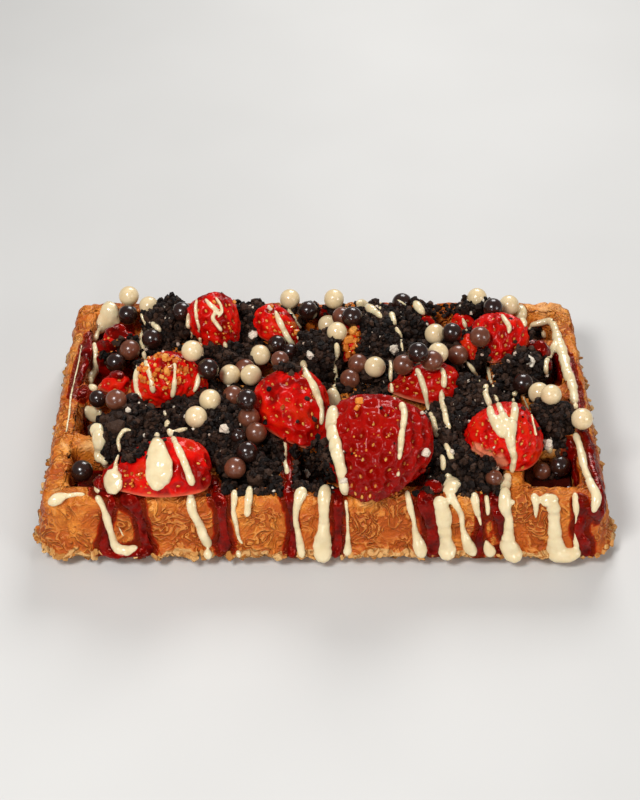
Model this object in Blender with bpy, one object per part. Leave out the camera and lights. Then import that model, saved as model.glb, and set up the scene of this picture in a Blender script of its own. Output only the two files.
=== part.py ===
"""Dessert waffle with strawberries, crumbled cookies and chocolate pearls.
Metres, +Z up. The origin is under the middle of the waffle, which lies on its lower ribs.
+X runs along the long side and -Y is the front."""
import math

import bmesh
import bpy
from mathutils import Matrix, Vector, noise
from mathutils.bvhtree import BVHTree

# the baked block
topLength = 0.176
topDepth = 0.103
waffleHeight = 0.025
cornerRadius = 0.0052
columns = 7
ribWidth = 0.0062
rowRibPlaces = (-0.0484, -0.0238, 0.0015, 0.0262, 0.0484)
pocketDraft = 0.0014
upperPocketDepth = 0.0130
lowerPocketDepth = 0.0075
ribDome = 0.0005
rimDrop = 0.0007
topRelief = 0.00055
sideRelief = 0.0011
flashRelief = 0.0021
reliefPitch = 0.0065
flashPitch = 0.0034
# height and outward reach of each line round the side, from the floor to the rim
sideLines = (
    (0.0000, 0.0002), (0.0030, 0.0016), (0.0046, 0.0056), (0.0068, 0.0037),
    (0.0125, 0.0028), (0.0195, 0.0015), (0.0250, 0.0000),
)
flashLine = 2

# the view that the topping positions are given in: 640 x 800 pixels, seen from the front
viewElevation = math.radians(40.1)
viewDistance = 0.590
viewFocal = 1642.0
viewCentre = (320.0, 400.0)
viewAim = Vector((-0.00137, 0.0264, 0.0))

clearance = 0.0003
cutGap = 0.00036
ribRoom = 0.0009
ribRoomAbove = 0.0013
floorOfPocket = waffleHeight - upperPocketDepth

# thick runs of white cream over the edges: picture points from the rim down, and radius
creamRuns = {
    "run_left_hook": (((95, 497), (101, 515), (112, 534), (131, 549)), 0.0013),
    "run_left": (((189, 500), (196, 520), (206, 546)), 0.0014),
    "run_left_thin": (((234, 494), (239, 520), (243, 549)), 0.0009),
    "run_middle_left": (((292, 494), (295, 520), (300, 552)), 0.0012),
    "run_middle_wide": (((330, 489), (328, 512), (327, 534), (326, 555)), 0.0024),
    "run_middle_thin": (((347, 500), (346, 522), (345, 547)), 0.0008),
    "run_right_1": (((407, 496), (411, 522), (417, 553)), 0.0013),
    "run_right_2": (((444, 494), (447, 520), (445, 552)), 0.0025),
    "run_right_3": (((456, 495), (460, 518), (466, 543)), 0.0010),
    "run_right_4": (((507, 495), (510, 520), (508, 552)), 0.0020),
    "run_right_5": (((548, 497), (552, 522), (558, 552)), 0.0024),
    "run_corner": (((576, 498), (575, 520), (573, 543)), 0.0011),
    "run_right_wall": (((557, 345), (565, 373), (572, 402), (577, 432), (584, 470), (594, 500)), 0.0013),
    "run_left_wall": (((94, 327), (92, 352), (95, 383)), 0.0014),
}

# strawberry pieces, rear ones first. picture: middle of the piece in the view.
# heading: where the tip points in plan, pitch: how far it is raised, roll: turn about its length
strawberries = {
    "strawberry_rear_left": dict(picture=(214, 325), length=0.025, width=0.017, thick=0.019,
                                 cut="half", heading=-58, pitch=-38, roll=20),
    "strawberry_rear_centre": dict(picture=(278, 327), length=0.022, width=0.013, thick=0.014,
                                   cut="half", heading=-38, pitch=-12, roll=10),
    "strawberry_slice_rear_right": dict(picture=(465, 323), length=0.0110, width=0.0085, thick=0.009,
                                        cut="half", heading=-12, pitch=-8, roll=0),
    "strawberry_rear_right": dict(picture=(499, 338), length=0.0210, width=0.0210, thick=0.018,
                                  cut="half", heading=-105, pitch=-6, roll=8),
    "strawberry_chip_rear": dict(picture=(425, 323), length=0.008, width=0.006, thick=0.008,
                                 cut="half", heading=20, pitch=0, roll=0),
    "strawberry_slice_left_rear": dict(picture=(122, 338), length=0.0130, width=0.007, thick=0.009,
                                       cut="half", heading=4, pitch=0, roll=0),
    "strawberry_left": dict(picture=(170, 380), length=0.0255, width=0.0245, thick=0.025,
                            cut="half", heading=98, pitch=6, roll=0),
    "strawberry_slice_left": dict(picture=(114, 384), length=0.0115, width=0.008, thick=0.009,
                                  cut="half", heading=178, pitch=0, roll=0),
    "strawberry_slice_centre": dict(picture=(351, 344), length=0.017, width=0.011, thick=0.010,
                                    cut="half", heading=-118, pitch=-14, roll=0),
    "strawberry_slice_right": dict(picture=(468, 349), length=0.0115, width=0.006, thick=0.009,
                                   cut="half", heading=-80, pitch=-15, roll=0),
    "strawberry_mid_right": dict(picture=(424, 383), length=0.026, width=0.017, thick=0.019,
                                 cut="half", heading=176, pitch=0, roll=10),
    "strawberry_centre": dict(picture=(291, 407), length=0.032, width=0.0245, thick=0.026,
                              cut="half", heading=-66, pitch=-9, roll=0),
    "strawberry_right": dict(picture=(502, 436), length=0.029, width=0.0250, thick=0.027,
                             cut="half", heading=68, pitch=8, roll=0),
    "strawberry_front_left": dict(picture=(155, 466), length=0.0390, width=0.0210, thick=0.025,
                                  cut="half", heading=184, pitch=0, roll=8),
    "strawberry_front_centre": dict(picture=(377, 446), length=0.0380, width=0.0335, thick=0.0265,
                                    cut="thick", heading=-103, pitch=-14, roll=0),
}

# heaps of crumbled cookie: mounds given by picture place, plan size, rise over the ribs,
# how far they reach down between them, and a seed for their lumps
crumbHeaps = {
    "crumbs_rear_left": dict(mounds=(((169, 322), 0.0165, 0.0215, 0.0070, 0.011),), seed=1),
    "crumbs_rear_mid": dict(mounds=(((248, 322), 0.0130, 0.0200, 0.0060, 0.011),), seed=2),
    "crumbs_mid_left": dict(mounds=(((221, 358), 0.0180, 0.0170, 0.0050, 0.011),), seed=12),
    "crumbs_centre": dict(mounds=(((320, 353), 0.0150, 0.0200, 0.0070, 0.011),), seed=3),
    "crumbs_rear_centre": dict(mounds=(((376, 338), 0.0180, 0.0330, 0.0065, 0.011),), seed=4),
    "crumbs_rear_mid_right": dict(mounds=(((411, 322), 0.0130, 0.0190, 0.0050, 0.010),), seed=14),
    "crumbs_rear_right": dict(mounds=(((476, 308), 0.0170, 0.0085, 0.0035, 0.010),), seed=5),
    "crumbs_left": dict(mounds=(((131, 431), 0.0245, 0.0235, 0.0065, 0.010),
                                ((205, 428), 0.0330, 0.0300, 0.0055, 0.010),
                                ((228, 456), 0.0140, 0.0120, 0.0040, 0.010)), seed=6),
    "crumbs_right": dict(mounds=(((465, 405), 0.0245, 0.0260, 0.0070, 0.011),
                                 ((447, 440), 0.0200, 0.0270, 0.0070, 0.011),
                                 ((473, 470), 0.0130, 0.0110, 0.0035, 0.009)), seed=7),
    "crumbs_far_right": dict(mounds=(((554, 419), 0.0125, 0.0130, 0.0050, 0.010),), seed=8),
    "crumbs_right_rear": dict(mounds=(((527, 362), 0.0140, 0.0110, 0.0045, 0.010),), seed=9),
    "crumbs_mid_right": dict(mounds=(((458, 350), 0.0220, 0.0150, 0.0040, 0.010),), seed=11),
    "crumbs_centre_right": dict(mounds=(((388, 372), 0.0240, 0.0110, 0.0035, 0.010),), seed=13),
    "crumbs_lump_front": dict(mounds=(((262, 470), 0.0092, 0.0090, 0.0010, 0.0090),), seed=10),
}
lumpSize = 0.0042
lumpRelief = 0.0013

# chocolate pearls: where each shows in the view, and its kind
pearlRadius = 0.0036
rimPearls = {
    "pearl_01": ((129, 296), "white"), "pearl_02": ((290, 299), "white"),
    "pearl_03": ((334, 299), "white"), "pearl_04": ((477, 298), "white"),
    "pearl_05": ((509, 305), "white"), "pearl_06": ((402, 303), "dark"),
}
pearls = {
    "pearl_07": ((128, 315), "dark"), "pearl_08": ((308, 311), "dark"),
    "pearl_09": ((328, 325), "white"), "pearl_10": ((352, 317), "dark"),
    "pearl_11": ((152, 339), "dark"), "pearl_12": ((130, 350), "milk"),
    "pearl_13": ((192, 351), "white"), "pearl_14": ((435, 334), "white"),
    "pearl_15": ((480, 337), "milk"), "pearl_16": ((432, 361), "milk"),
    "pearl_17": ((260, 355), "white"), "pearl_18": ((208, 369), "dark"),
    "pearl_19": ((230, 375), "white"), "pearl_20": ((251, 375), "white"),
    "pearl_21": ((375, 367), "white"), "pearl_22": ((210, 400), "white"),
    "pearl_23": ((196, 417), "white"), "pearl_24": ((249, 418), "milk"),
    "pearl_25": ((523, 384), "dark"), "pearl_26": ((539, 393), "white"),
    "pearl_27": ((582, 419), "white"), "pearl_28": ((82, 471), "dark"),
}

sauceRise = 0.0035
saucePools = {"sauce_pool_left": (0, 0), "sauce_pool_right": (6, 0)}

looks = {
    "crust": ((0.72, 0.38, 0.11, 1.0), 0.55),
    "strawberry": ((0.62, 0.02, 0.015, 1.0), 0.15),
    "crumbs": ((0.025, 0.015, 0.012, 1.0), 0.8),
    "white": ((0.86, 0.75, 0.54, 1.0), 0.2),
    "milk": ((0.20, 0.075, 0.035, 1.0), 0.2),
    "dark": ((0.045, 0.018, 0.012, 1.0), 0.2),
    "sauce": ((0.16, 0.005, 0.003, 1.0), 0.08),
}


def sightLine(picture):
    """Start and direction of the line of sight through a point of the view."""
    ahead = Vector((0, math.cos(viewElevation), -math.sin(viewElevation)))
    upward = Vector((0, math.sin(viewElevation), math.cos(viewElevation)))
    eye = viewAim - ahead * viewDistance
    across = (picture[0] - viewCentre[0]) / viewFocal
    down = (picture[1] - viewCentre[1]) / viewFocal
    return eye, (ahead + Vector((across, 0, 0)) - upward * down).normalized()


def sightAtHeight(picture, z):
    """Where a line of sight crosses a height."""
    eye, direction = sightLine(picture)
    return eye + direction * ((z - eye.z) / direction.z)


def newObject(name, bm, look):
    """A named object in the waffle's collection, with its own material."""
    mesh = bpy.data.meshes.new(name)
    bm.to_mesh(mesh)
    bm.free()
    obj = bpy.data.objects.new(name, mesh)
    partCollection.objects.link(obj)
    colour, roughness = looks[look]
    material = bpy.data.materials.new(name)
    material.use_nodes = True
    shader = material.node_tree.nodes["Principled BSDF"]
    shader.inputs["Base Color"].default_value = colour
    shader.inputs["Roughness"].default_value = roughness
    mesh.materials.append(material)
    return obj


def isClosed(mesh):
    """Whether a mesh has faces and, in triangles, no open or branching edge."""
    bm = bmesh.new()
    bm.from_mesh(mesh)
    bmesh.ops.triangulate(bm, faces=bm.faces)
    sound = len(bm.faces) > 0 and all(edge.is_manifold for edge in bm.edges)
    bm.free()
    return sound


def applyBoolean(obj, operation):
    """Joins or cuts an object with all tools in one Boolean, and removes the tools."""
    material = obj.data.materials[0]
    for solver in ("EXACT", "MANIFOLD"):
        modifier = obj.modifiers.new("Boolean", "BOOLEAN")
        modifier.operation = operation
        modifier.solver = solver
        modifier.operand_type = "COLLECTION"
        modifier.collection = toolCollection
        bpy.context.view_layer.update()
        graph = bpy.context.evaluated_depsgraph_get()
        mesh = bpy.data.meshes.new_from_object(obj.evaluated_get(graph))
        obj.modifiers.clear()
        if isClosed(mesh):
            break
    obj.data = mesh
    mesh.materials.clear()
    mesh.materials.append(material)
    for face in mesh.polygons:
        face.material_index = 0
    for tool in list(toolCollection.objects):
        bpy.data.objects.remove(tool)


def addTool(name, mesh):
    """An object that only joins or cuts: hidden, drawn as wires."""
    tool = bpy.data.objects.new(name, mesh)
    tool.hide_render = True
    tool.display_type = "WIRE"
    toolCollection.objects.link(tool)
    return tool


def shells(bm):
    """The connected bodies of a mesh, each as a list of faces."""
    left = set(bm.faces)
    groups = []
    while left:
        stack = [left.pop()]
        group = []
        while stack:
            face = stack.pop()
            group.append(face)
            for edge in face.edges:
                for other in edge.link_faces:
                    if other in left:
                        left.discard(other)
                        stack.append(other)
        groups.append(group)
    return groups


def tidy(obj):
    """Welds tiny edges and keeps the largest body of a cut piece."""
    bm = bmesh.new()
    bm.from_mesh(obj.data)
    bmesh.ops.remove_doubles(bm, verts=bm.verts, dist=0.000002)
    bmesh.ops.dissolve_degenerate(bm, edges=bm.edges, dist=0.000002)
    bmesh.ops.dissolve_verts(bm, verts=[v for v in bm.verts if len(v.link_edges) == 2])
    bmesh.ops.triangulate(bm, faces=bm.faces)
    groups = sorted(shells(bm), key=lambda group: -sum(face.calc_area() for face in group))
    scrap = [face for group in groups[1:] for face in group]
    bmesh.ops.delete(bm, geom=scrap, context="FACES")
    bmesh.ops.recalc_face_normals(bm, faces=bm.faces)
    bm.to_mesh(obj.data)
    bm.free()


def grown(mesh, distance):
    """A copy of a mesh whose skin is moved out evenly."""
    bm = bmesh.new()
    bm.from_mesh(mesh)
    bm.normal_update()
    moves = [(v, v.normal * distance * min(v.calc_shell_factor(), 1.8)) for v in bm.verts]
    for v, move in moves:
        v.co += move
    copy = bpy.data.meshes.new(mesh.name + "_room")
    bm.to_mesh(copy)
    bm.free()
    return copy


def worldTriangles(obj):
    """World points and triangles of an object."""
    mesh = obj.data
    mesh.calc_loop_triangles()
    points = [obj.matrix_world @ v.co for v in mesh.vertices]
    return points, [tuple(t.vertices) for t in mesh.loop_triangles]


def spansOf(mesh):
    """Lowest and highest coordinate of a mesh along each axis."""
    return [(min(v.co[k] for v in mesh.vertices), max(v.co[k] for v in mesh.vertices)) for k in range(3)]


def treeOf(objects):
    """One search tree for the skins of several objects."""
    points = []
    triangles = []
    for obj in objects:
        own, faces = worldTriangles(obj)
        triangles += [tuple(i + len(points) for i in face) for face in faces]
        points += own
    return BVHTree.FromPolygons(points, triangles)


def ribPlaces():
    """Middles of the ribs along X and along Y."""
    step = (topLength - ribWidth) / columns
    return [(i - columns / 2) * step for i in range(columns + 1)], rowRibPlaces


def stations(centres, swell=0.0):
    """Lines across the ribs: two edges and a crown on each rib, two floor edges in each pocket."""
    places = []
    kinds = []
    half = ribWidth / 2 + swell
    for k, centre in enumerate(centres):
        lines = ((-half, "edge"), (half, "edge")) if swell else ((-half, "edge"), (0, "crown"), (half, "edge"))
        for offset, kind in lines:
            places.append(centre + offset)
            kinds.append(kind)
        if k + 1 < len(centres):
            places.append(centre + half + pocketDraft)
            places.append(centres[k + 1] - half - pocketDraft)
            kinds += ["floor", "floor"]
    return places, kinds


def evenPlace(value, places):
    """The evenly spread place that belongs to a station."""
    index = min(range(len(places)), key=lambda i: abs(places[i] - value))
    return places[0] + (places[-1] - places[0]) * index / (len(places) - 1)


def outline(x, y, reach):
    """A point of the block's rounded rectangle moved out by the reach, and its way out."""
    halfX = topLength / 2 - cornerRadius
    halfY = topDepth / 2 - cornerRadius
    centre = Vector((max(-halfX, min(halfX, x)), max(-halfY, min(halfY, y)), 0))
    away = Vector((x, y, 0)) - centre
    return centre + away.normalized() * (cornerRadius + reach), away.normalized()


def waffle():
    """The block: a grid of pockets above and below, joined by a drafted, craggy side."""
    xCentres, yCentres = ribPlaces()
    xPlaces, xKinds = stations(xCentres)
    yPlaces, yKinds = stations(yCentres)
    bm = bmesh.new()
    for side in ("upper", "lower"):
        made = bmesh.ops.create_grid(
            bm, x_segments=len(xPlaces) - 1, y_segments=len(yPlaces) - 1, size=1.0)
        if side == "lower":
            bmesh.ops.reverse_faces(bm, faces=list({f for v in made["verts"] for f in v.link_faces}))
        for v in made["verts"]:
            i = round((v.co.x + 1) / 2 * (len(xPlaces) - 1))
            j = round((v.co.y + 1) / 2 * (len(yPlaces) - 1))
            x, y = xPlaces[i], yPlaces[j]
            inPocket = xKinds[i] == "floor" and yKinds[j] == "floor"
            onCrown = "crown" in (xKinds[i], yKinds[j])
            border = i in (0, len(xPlaces) - 1) or j in (0, len(yPlaces) - 1)
            if side == "lower":
                v.co = (x, y, lowerPocketDepth if inPocket else 0.0)
            else:
                v.co = (x, y, waffleHeight - (upperPocketDepth if inPocket else 0.0))
                if onCrown and not border:
                    v.co.z += ribDome
            if border:
                place, away = outline(x, y, 0.0)
                v.co.x, v.co.y = place.x, place.y
    borders = [edge for edge in bm.edges if edge.is_boundary]
    band = bmesh.ops.bridge_loops(bm, edges=borders)
    uprights = [e for e in band["edges"] if abs(e.verts[0].co.z - e.verts[1].co.z) > waffleHeight / 2]
    bmesh.ops.subdivide_edges(bm, edges=uprights, cuts=len(sideLines) - 2)
    lowerVerts = set()
    for v in bm.verts:
        x, y, z = v.co
        place, away = outline(x, y, 0.0)
        onSide = away.length > 0.5 and (place - Vector((x, y, 0))).length < 0.00001
        if z < lowerPocketDepth + 0.0001 and (not onSide or z < 0.0001):
            lowerVerts.add(v)
        elif not onSide or z > waffleHeight - 0.0001:
            sway = Vector([noise.noise(v.co / reliefPitch + Vector((9 * k, 4 * k, k))) for k in range(3)])
            sway *= topRelief
            if onSide:
                sway.z -= rimDrop
            v.co += sway
        else:
            line = round(z / waffleHeight * (len(sideLines) - 1))
            z, reach = sideLines[line]
            spread = min(1.0, 1.6 * (1 - z / waffleHeight))
            if abs(x) < topLength / 2 - cornerRadius:
                x += (evenPlace(x, xPlaces) - x) * spread
            elif abs(y) < topDepth / 2 - cornerRadius:
                y += (evenPlace(y, yPlaces) - y) * spread
            ragged = flashRelief * noise.noise(Vector((x, y, 0)) / flashPitch + Vector((7, 3, 5)))
            if line == flashLine:
                reach += ragged
                z += 0.25 * ragged
            else:
                reach += sideRelief * noise.noise(Vector((x, y, z)) / reliefPitch)
            v.co = outline(x, y, reach)[0] + Vector((0, 0, z))
    flat = [e for e in bm.edges if all(v in lowerVerts for v in e.verts)]
    bmesh.ops.dissolve_limit(
        bm, angle_limit=math.radians(1.0), verts=[v for v in bm.verts if v in lowerVerts], edges=flat)
    bmesh.ops.triangulate(bm, faces=bm.faces)
    bmesh.ops.recalc_face_normals(bm, faces=bm.faces)
    return newObject("waffle", bm, "crust")


def pocketRoom():
    """The space that the ribs and the pocket floors need, as a tool to cut the heaps with."""
    xCentres, yCentres = ribPlaces()
    xPlaces, xKinds = stations(xCentres, ribRoom)
    yPlaces, yKinds = stations(yCentres, ribRoom)
    bm = bmesh.new()
    bmesh.ops.create_grid(bm, x_segments=len(xPlaces) - 1, y_segments=len(yPlaces) - 1, size=1.0)
    for v in bm.verts:
        i = round((v.co.x + 1) / 2 * (len(xPlaces) - 1))
        j = round((v.co.y + 1) / 2 * (len(yPlaces) - 1))
        inPocket = xKinds[i] == "floor" and yKinds[j] == "floor"
        z = waffleHeight + ribRoomAbove - (upperPocketDepth if inPocket else 0.0)
        v.co = (xPlaces[i], yPlaces[j], z)
    borders = [edge for edge in bm.edges if edge.is_boundary]
    skirt = bmesh.ops.extrude_edge_only(bm, edges=borders)["geom"]
    for v in skirt:
        if isinstance(v, bmesh.types.BMVert):
            v.co.z = lowerPocketDepth
    bmesh.ops.holes_fill(bm, edges=[edge for edge in bm.edges if edge.is_boundary])
    bmesh.ops.recalc_face_normals(bm, faces=bm.faces)
    mesh = bpy.data.meshes.new("pocket_room")
    bm.to_mesh(mesh)
    bm.free()
    return mesh


def creamRun(name, picture, radius, skin):
    """A thick run of cream that lies on the skin along its picture points, as a mesh."""
    curve = bpy.data.curves.new(name, "CURVE")
    curve.dimensions = "3D"
    curve.bevel_depth = radius
    curve.bevel_resolution = 1
    curve.use_fill_caps = True
    places = []
    for k, point in enumerate(picture):
        eye, direction = sightLine(point)
        hit, normal, face, reach = skin.ray_cast(eye, direction)
        places.append(hit - normal * radius * 0.35)
    spline = curve.splines.new("POLY")
    spline.points.add(len(places) - 1)
    for k, place in enumerate(places):
        spline.points[k].co = (*place, 1.0)
        spline.points[k].radius = 0.75 + 0.35 * k / (len(places) - 1)
    obj = bpy.data.objects.new(name, curve)
    bpy.context.scene.collection.objects.link(obj)
    bpy.context.view_layer.update()
    graph = bpy.context.evaluated_depsgraph_get()
    mesh = bpy.data.meshes.new_from_object(obj.evaluated_get(graph))
    bpy.data.objects.remove(obj)
    bm = bmesh.new()
    bm.from_mesh(mesh)
    bmesh.ops.remove_doubles(bm, verts=bm.verts, dist=0.00001)
    bmesh.ops.recalc_face_normals(bm, faces=bm.faces)
    bm.to_mesh(mesh)
    bm.free()
    addTool(name, mesh)


def addCreamRuns(base):
    """Joins the runs of cream to the waffle in one union."""
    skin = treeOf([base])
    for name, (picture, radius) in creamRuns.items():
        creamRun(name, picture, radius, skin)
    applyBoolean(base, "UNION")
    tidy(base)


def saucePool(name, column, row):
    """Sauce that fills the bottom of one pocket."""
    step = (topLength - ribWidth) / columns
    x = (column + 0.5 - columns / 2) * step
    y = (rowRibPlaces[row] + rowRibPlaces[row + 1]) / 2
    low = floorOfPocket + topRelief + clearance
    wide = step - ribWidth - 2 * pocketDraft - 2 * topRelief - 2 * clearance
    deep = rowRibPlaces[row + 1] - rowRibPlaces[row] - ribWidth
    deep -= 2 * pocketDraft + 2 * topRelief + 2 * clearance
    bm = bmesh.new()
    bmesh.ops.create_cube(bm, size=1.0)
    slope = pocketDraft * 2 * (sauceRise / upperPocketDepth)
    for v in bm.verts:
        more = slope if v.co.z > 0 else 0.0
        v.co = (x + v.co.x * (wide + more), y + v.co.y * (deep + more),
                low + (v.co.z + 0.5) * sauceRise)
    bmesh.ops.bevel(bm, geom=[e for e in bm.edges if abs(e.verts[0].co.z - e.verts[1].co.z) > 0.001],
                    offset=0.0015, segments=2, profile=0.5, affect="EDGES")
    return newObject(name, bm, "sauce")


def berryMesh(length, width, thick, cut, seed):
    """A strawberry with its tip at -Z, cut flat on the -Y side when it is a half."""
    bm = bmesh.new()
    around = 14 if length > 0.015 else 10
    bmesh.ops.create_uvsphere(bm, u_segments=around, v_segments=around // 2 + 2, radius=1.0)
    for v in bm.verts:
        t = v.co.z
        taper = 1.0 + 0.30 * t - 0.16 * t * t
        shoulder = max(0.0, t - 0.6) / 0.4
        wobble = 1.0 + 0.05 * noise.noise(v.co * 1.7 + Vector((seed * 3.1, 0, 0)))
        v.co = (v.co.x * taper * wobble * width / 2,
                v.co.y * taper * wobble * thick / 2,
                (t - 0.16 * shoulder * shoulder) * length / 2)
    level = 0.0 if cut == "half" else -0.22 * thick
    cutPlane = bmesh.ops.bisect_plane(
        bm, geom=list(bm.verts) + list(bm.edges) + list(bm.faces), dist=0.00001,
        plane_co=(0, level, 0), plane_no=(0, -1, 0), clear_outer=True)
    rim = [item for item in cutPlane["geom_cut"] if isinstance(item, bmesh.types.BMEdge)]
    bmesh.ops.contextual_create(bm, geom=rim)
    bmesh.ops.triangulate(bm, faces=bm.faces)
    bmesh.ops.recalc_face_normals(bm, faces=bm.faces)
    return bm


def berryTurn(heading, pitch, roll):
    """Turns the tip to its heading and pitch with the round side up."""
    h, p = math.radians(heading), math.radians(pitch)
    tip = Vector((math.cos(h) * math.cos(p), math.sin(h) * math.cos(p), math.sin(p)))
    upright = (Vector((0, 0, 1)) - tip * tip.z).normalized()
    upright = Matrix.Rotation(math.radians(roll), 3, tip) @ upright
    back = -tip
    across = upright.cross(back)
    return Matrix((across, upright, back)).transposed().to_4x4()


def placeBerry(name, spec, seed, placed):
    """Moves a strawberry piece down its line of sight until it lies on what is there."""
    bm = berryMesh(spec["length"], spec["width"], spec["thick"], spec["cut"], seed)
    bmesh.ops.transform(bm, matrix=berryTurn(spec["heading"], spec["pitch"], spec["roll"]), verts=bm.verts)
    upward = Vector((0, math.sin(viewElevation), math.cos(viewElevation)))
    for axis in (Vector((1, 0, 0)), upward):
        spans = [v.co.dot(axis) for v in bm.verts]
        bmesh.ops.translate(bm, vec=axis * -(min(spans) + max(spans)) / 2, verts=bm.verts)
    obj = newObject(name, bm, "strawberry")
    room = grown(obj.data, cutGap)
    points = [v.co.copy() for v in room.vertices]
    faces = [tuple(face.vertices) for face in room.polygons]
    tree = treeOf(placed)
    eye, direction = sightLine(spec["picture"])
    here = (0.085 - eye.z) / direction.z
    step = 0.0005
    while (eye + direction * here).z > 0.012:
        place = eye + direction * (here + step)
        moved = BVHTree.FromPolygons([p + place for p in points], faces)
        if moved.overlap(tree):
            if step < 0.00006:
                break
            step /= 2
            continue
        here += step
    obj.location = eye + direction * here
    bpy.context.view_layer.update()
    room.transform(obj.matrix_world)
    rooms[name] = [room]
    return obj


def mound(picture, wide, deep, rise, sink, seed):
    """One lumpy mound of crumbs."""
    bm = bmesh.new()
    around = 15 if wide * deep > 0.0004 else 11
    bmesh.ops.create_uvsphere(bm, u_segments=around, v_segments=around // 2 + 1, radius=1.0)
    middle = sightAtHeight(picture, waffleHeight + rise * 0.35)
    for v in bm.verts:
        upright = rise if v.co.z > 0 else sink
        boxy = 1.0 if v.co.z > 0 else 1.0 + 0.18 * abs(v.co.z)
        place = Vector((v.co.x * wide / 2 * boxy, v.co.y * deep / 2 * boxy, v.co.z * upright))
        lump = noise.noise((place + middle) / lumpSize + Vector((seed * 5.3, seed * 2.1, 0)))
        place += v.co.normalized() * lump * lumpRelief * (1.0 if v.co.z > -0.2 else 0.3)
        v.co = place + Vector((middle.x, middle.y, waffleHeight))
    return bm


def crumbHeap(name, spec):
    """A heap: its mounds joined, less the room of what it lies on and between."""
    own = []
    for k, (picture, wide, deep, rise, sink) in enumerate(spec["mounds"]):
        bm = mound(picture, wide, deep, rise, sink, spec["seed"] + 20 * k)
        if k == 0:
            obj = newObject(name, bm, "crumbs")
            own.append(grown(obj.data, cutGap))
            continue
        mesh = bpy.data.meshes.new(name + "_mound")
        bm.to_mesh(mesh)
        bm.free()
        own.append(grown(mesh, cutGap))
        addTool(name + "_mound", mesh)
    if len(own) > 1:
        applyBoolean(obj, "UNION")
    spans = spansOf(obj.data)
    for other, meshes in rooms.items():
        for mesh in meshes:
            near = all(low < high2 and low2 < high
                       for (low, high), (low2, high2) in zip(spans, spansOf(mesh)))
            if near:
                addTool(other + "_room", mesh)
    applyBoolean(obj, "DIFFERENCE")
    tidy(obj)
    rooms[name] = own
    return obj


def placePearl(name, picture, kind, tree):
    """Rolls a pearl down its line of sight until it touches something."""
    eye, direction = sightLine(picture)
    room = pearlRadius + clearance
    here = (0.085 - eye.z) / direction.z
    for turn in range(400):
        place = eye + direction * here
        free = tree.find_nearest(place)[3] - room
        if free < 0.00001:
            break
        here += free
    bm = bmesh.new()
    bmesh.ops.create_icosphere(bm, subdivisions=2, radius=pearlRadius)
    obj = newObject(name, bm, kind)
    obj.location = eye + direction * here
    bpy.context.view_layer.update()
    room = grown(obj.data, cutGap)
    room.transform(obj.matrix_world)
    rooms[name] = [room]
    return obj


for old in list(bpy.data.objects):
    bpy.data.objects.remove(old)
partCollection = bpy.data.collections.new("Strawberry waffle")
toolCollection = bpy.data.collections.new("Cutters")
bpy.context.scene.collection.children.link(partCollection)
bpy.context.scene.collection.children.link(toolCollection)

base = waffle()
addCreamRuns(base)
rooms = {"waffle": [pocketRoom()]}
pieces = [base]
for name, (column, row) in saucePools.items():
    pieces.append(saucePool(name, column, row))
for name, (picture, kind) in rimPearls.items():
    pieces.append(placePearl(name, picture, kind, treeOf(pieces)))
for seed, (name, spec) in enumerate(strawberries.items()):
    pieces.append(placeBerry(name, spec, seed, pieces))
for name, spec in crumbHeaps.items():
    pieces.append(crumbHeap(name, spec))
for name, (picture, kind) in pearls.items():
    pieces.append(placePearl(name, picture, kind, treeOf(pieces)))
print("waffle with", len(pieces), "pieces,", sum(len(worldTriangles(p)[1]) for p in pieces), "triangles")
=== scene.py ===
import math
import random

import bmesh
import bpy
import numpy as np
from mathutils import Matrix, Vector, noise
from mathutils.bvhtree import BVHTree
from mathutils.kdtree import KDTree


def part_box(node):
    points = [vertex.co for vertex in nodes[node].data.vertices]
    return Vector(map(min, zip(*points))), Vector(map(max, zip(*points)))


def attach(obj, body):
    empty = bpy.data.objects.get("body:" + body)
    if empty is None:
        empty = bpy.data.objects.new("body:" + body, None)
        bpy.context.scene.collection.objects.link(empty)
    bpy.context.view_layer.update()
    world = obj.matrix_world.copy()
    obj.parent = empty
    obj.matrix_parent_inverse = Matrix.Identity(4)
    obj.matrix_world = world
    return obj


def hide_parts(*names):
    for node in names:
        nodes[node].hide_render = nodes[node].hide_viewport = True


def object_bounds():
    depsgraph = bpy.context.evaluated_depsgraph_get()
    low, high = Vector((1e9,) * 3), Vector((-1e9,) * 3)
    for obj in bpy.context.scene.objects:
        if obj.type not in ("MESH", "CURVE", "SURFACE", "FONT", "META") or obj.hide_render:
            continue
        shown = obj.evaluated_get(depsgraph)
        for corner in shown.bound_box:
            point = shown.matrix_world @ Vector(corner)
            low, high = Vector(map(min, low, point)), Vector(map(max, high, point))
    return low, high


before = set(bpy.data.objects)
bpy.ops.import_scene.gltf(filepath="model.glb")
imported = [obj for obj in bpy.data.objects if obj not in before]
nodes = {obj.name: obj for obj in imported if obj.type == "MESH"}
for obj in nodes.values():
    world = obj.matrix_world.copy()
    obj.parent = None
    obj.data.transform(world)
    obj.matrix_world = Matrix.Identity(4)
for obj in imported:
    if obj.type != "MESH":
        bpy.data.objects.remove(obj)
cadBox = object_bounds()
scene = bpy.context.scene

# the photograph's view, 640 x 800; picture places below are pixels of it
view = dict(elevation=40.1, distance=0.590, focal=1642.0, centre=(320.0, 400.0),
            aim=(-0.00137, 0.0264, 0.0), pictureHeight=800.0, sensor=36.0, clipStart=0.01)
elevation = math.radians(view["elevation"])
ahead = Vector((0, math.cos(elevation), -math.sin(elevation)))
upward = Vector((0, math.sin(elevation), math.cos(elevation)))
cameraPlace = Vector(view["aim"]) - ahead * view["distance"]
pixelsPerMm = view["focal"] / view["distance"] * 0.001
wholeTurn = 6.28


# small helpers

def sightLine(picture):
    across = (picture[0] - view["centre"][0]) / view["focal"]
    down = (picture[1] - view["centre"][1]) / view["focal"]
    return cameraPlace, (ahead + Vector((across, 0, 0)) - upward * down).normalized()


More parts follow.
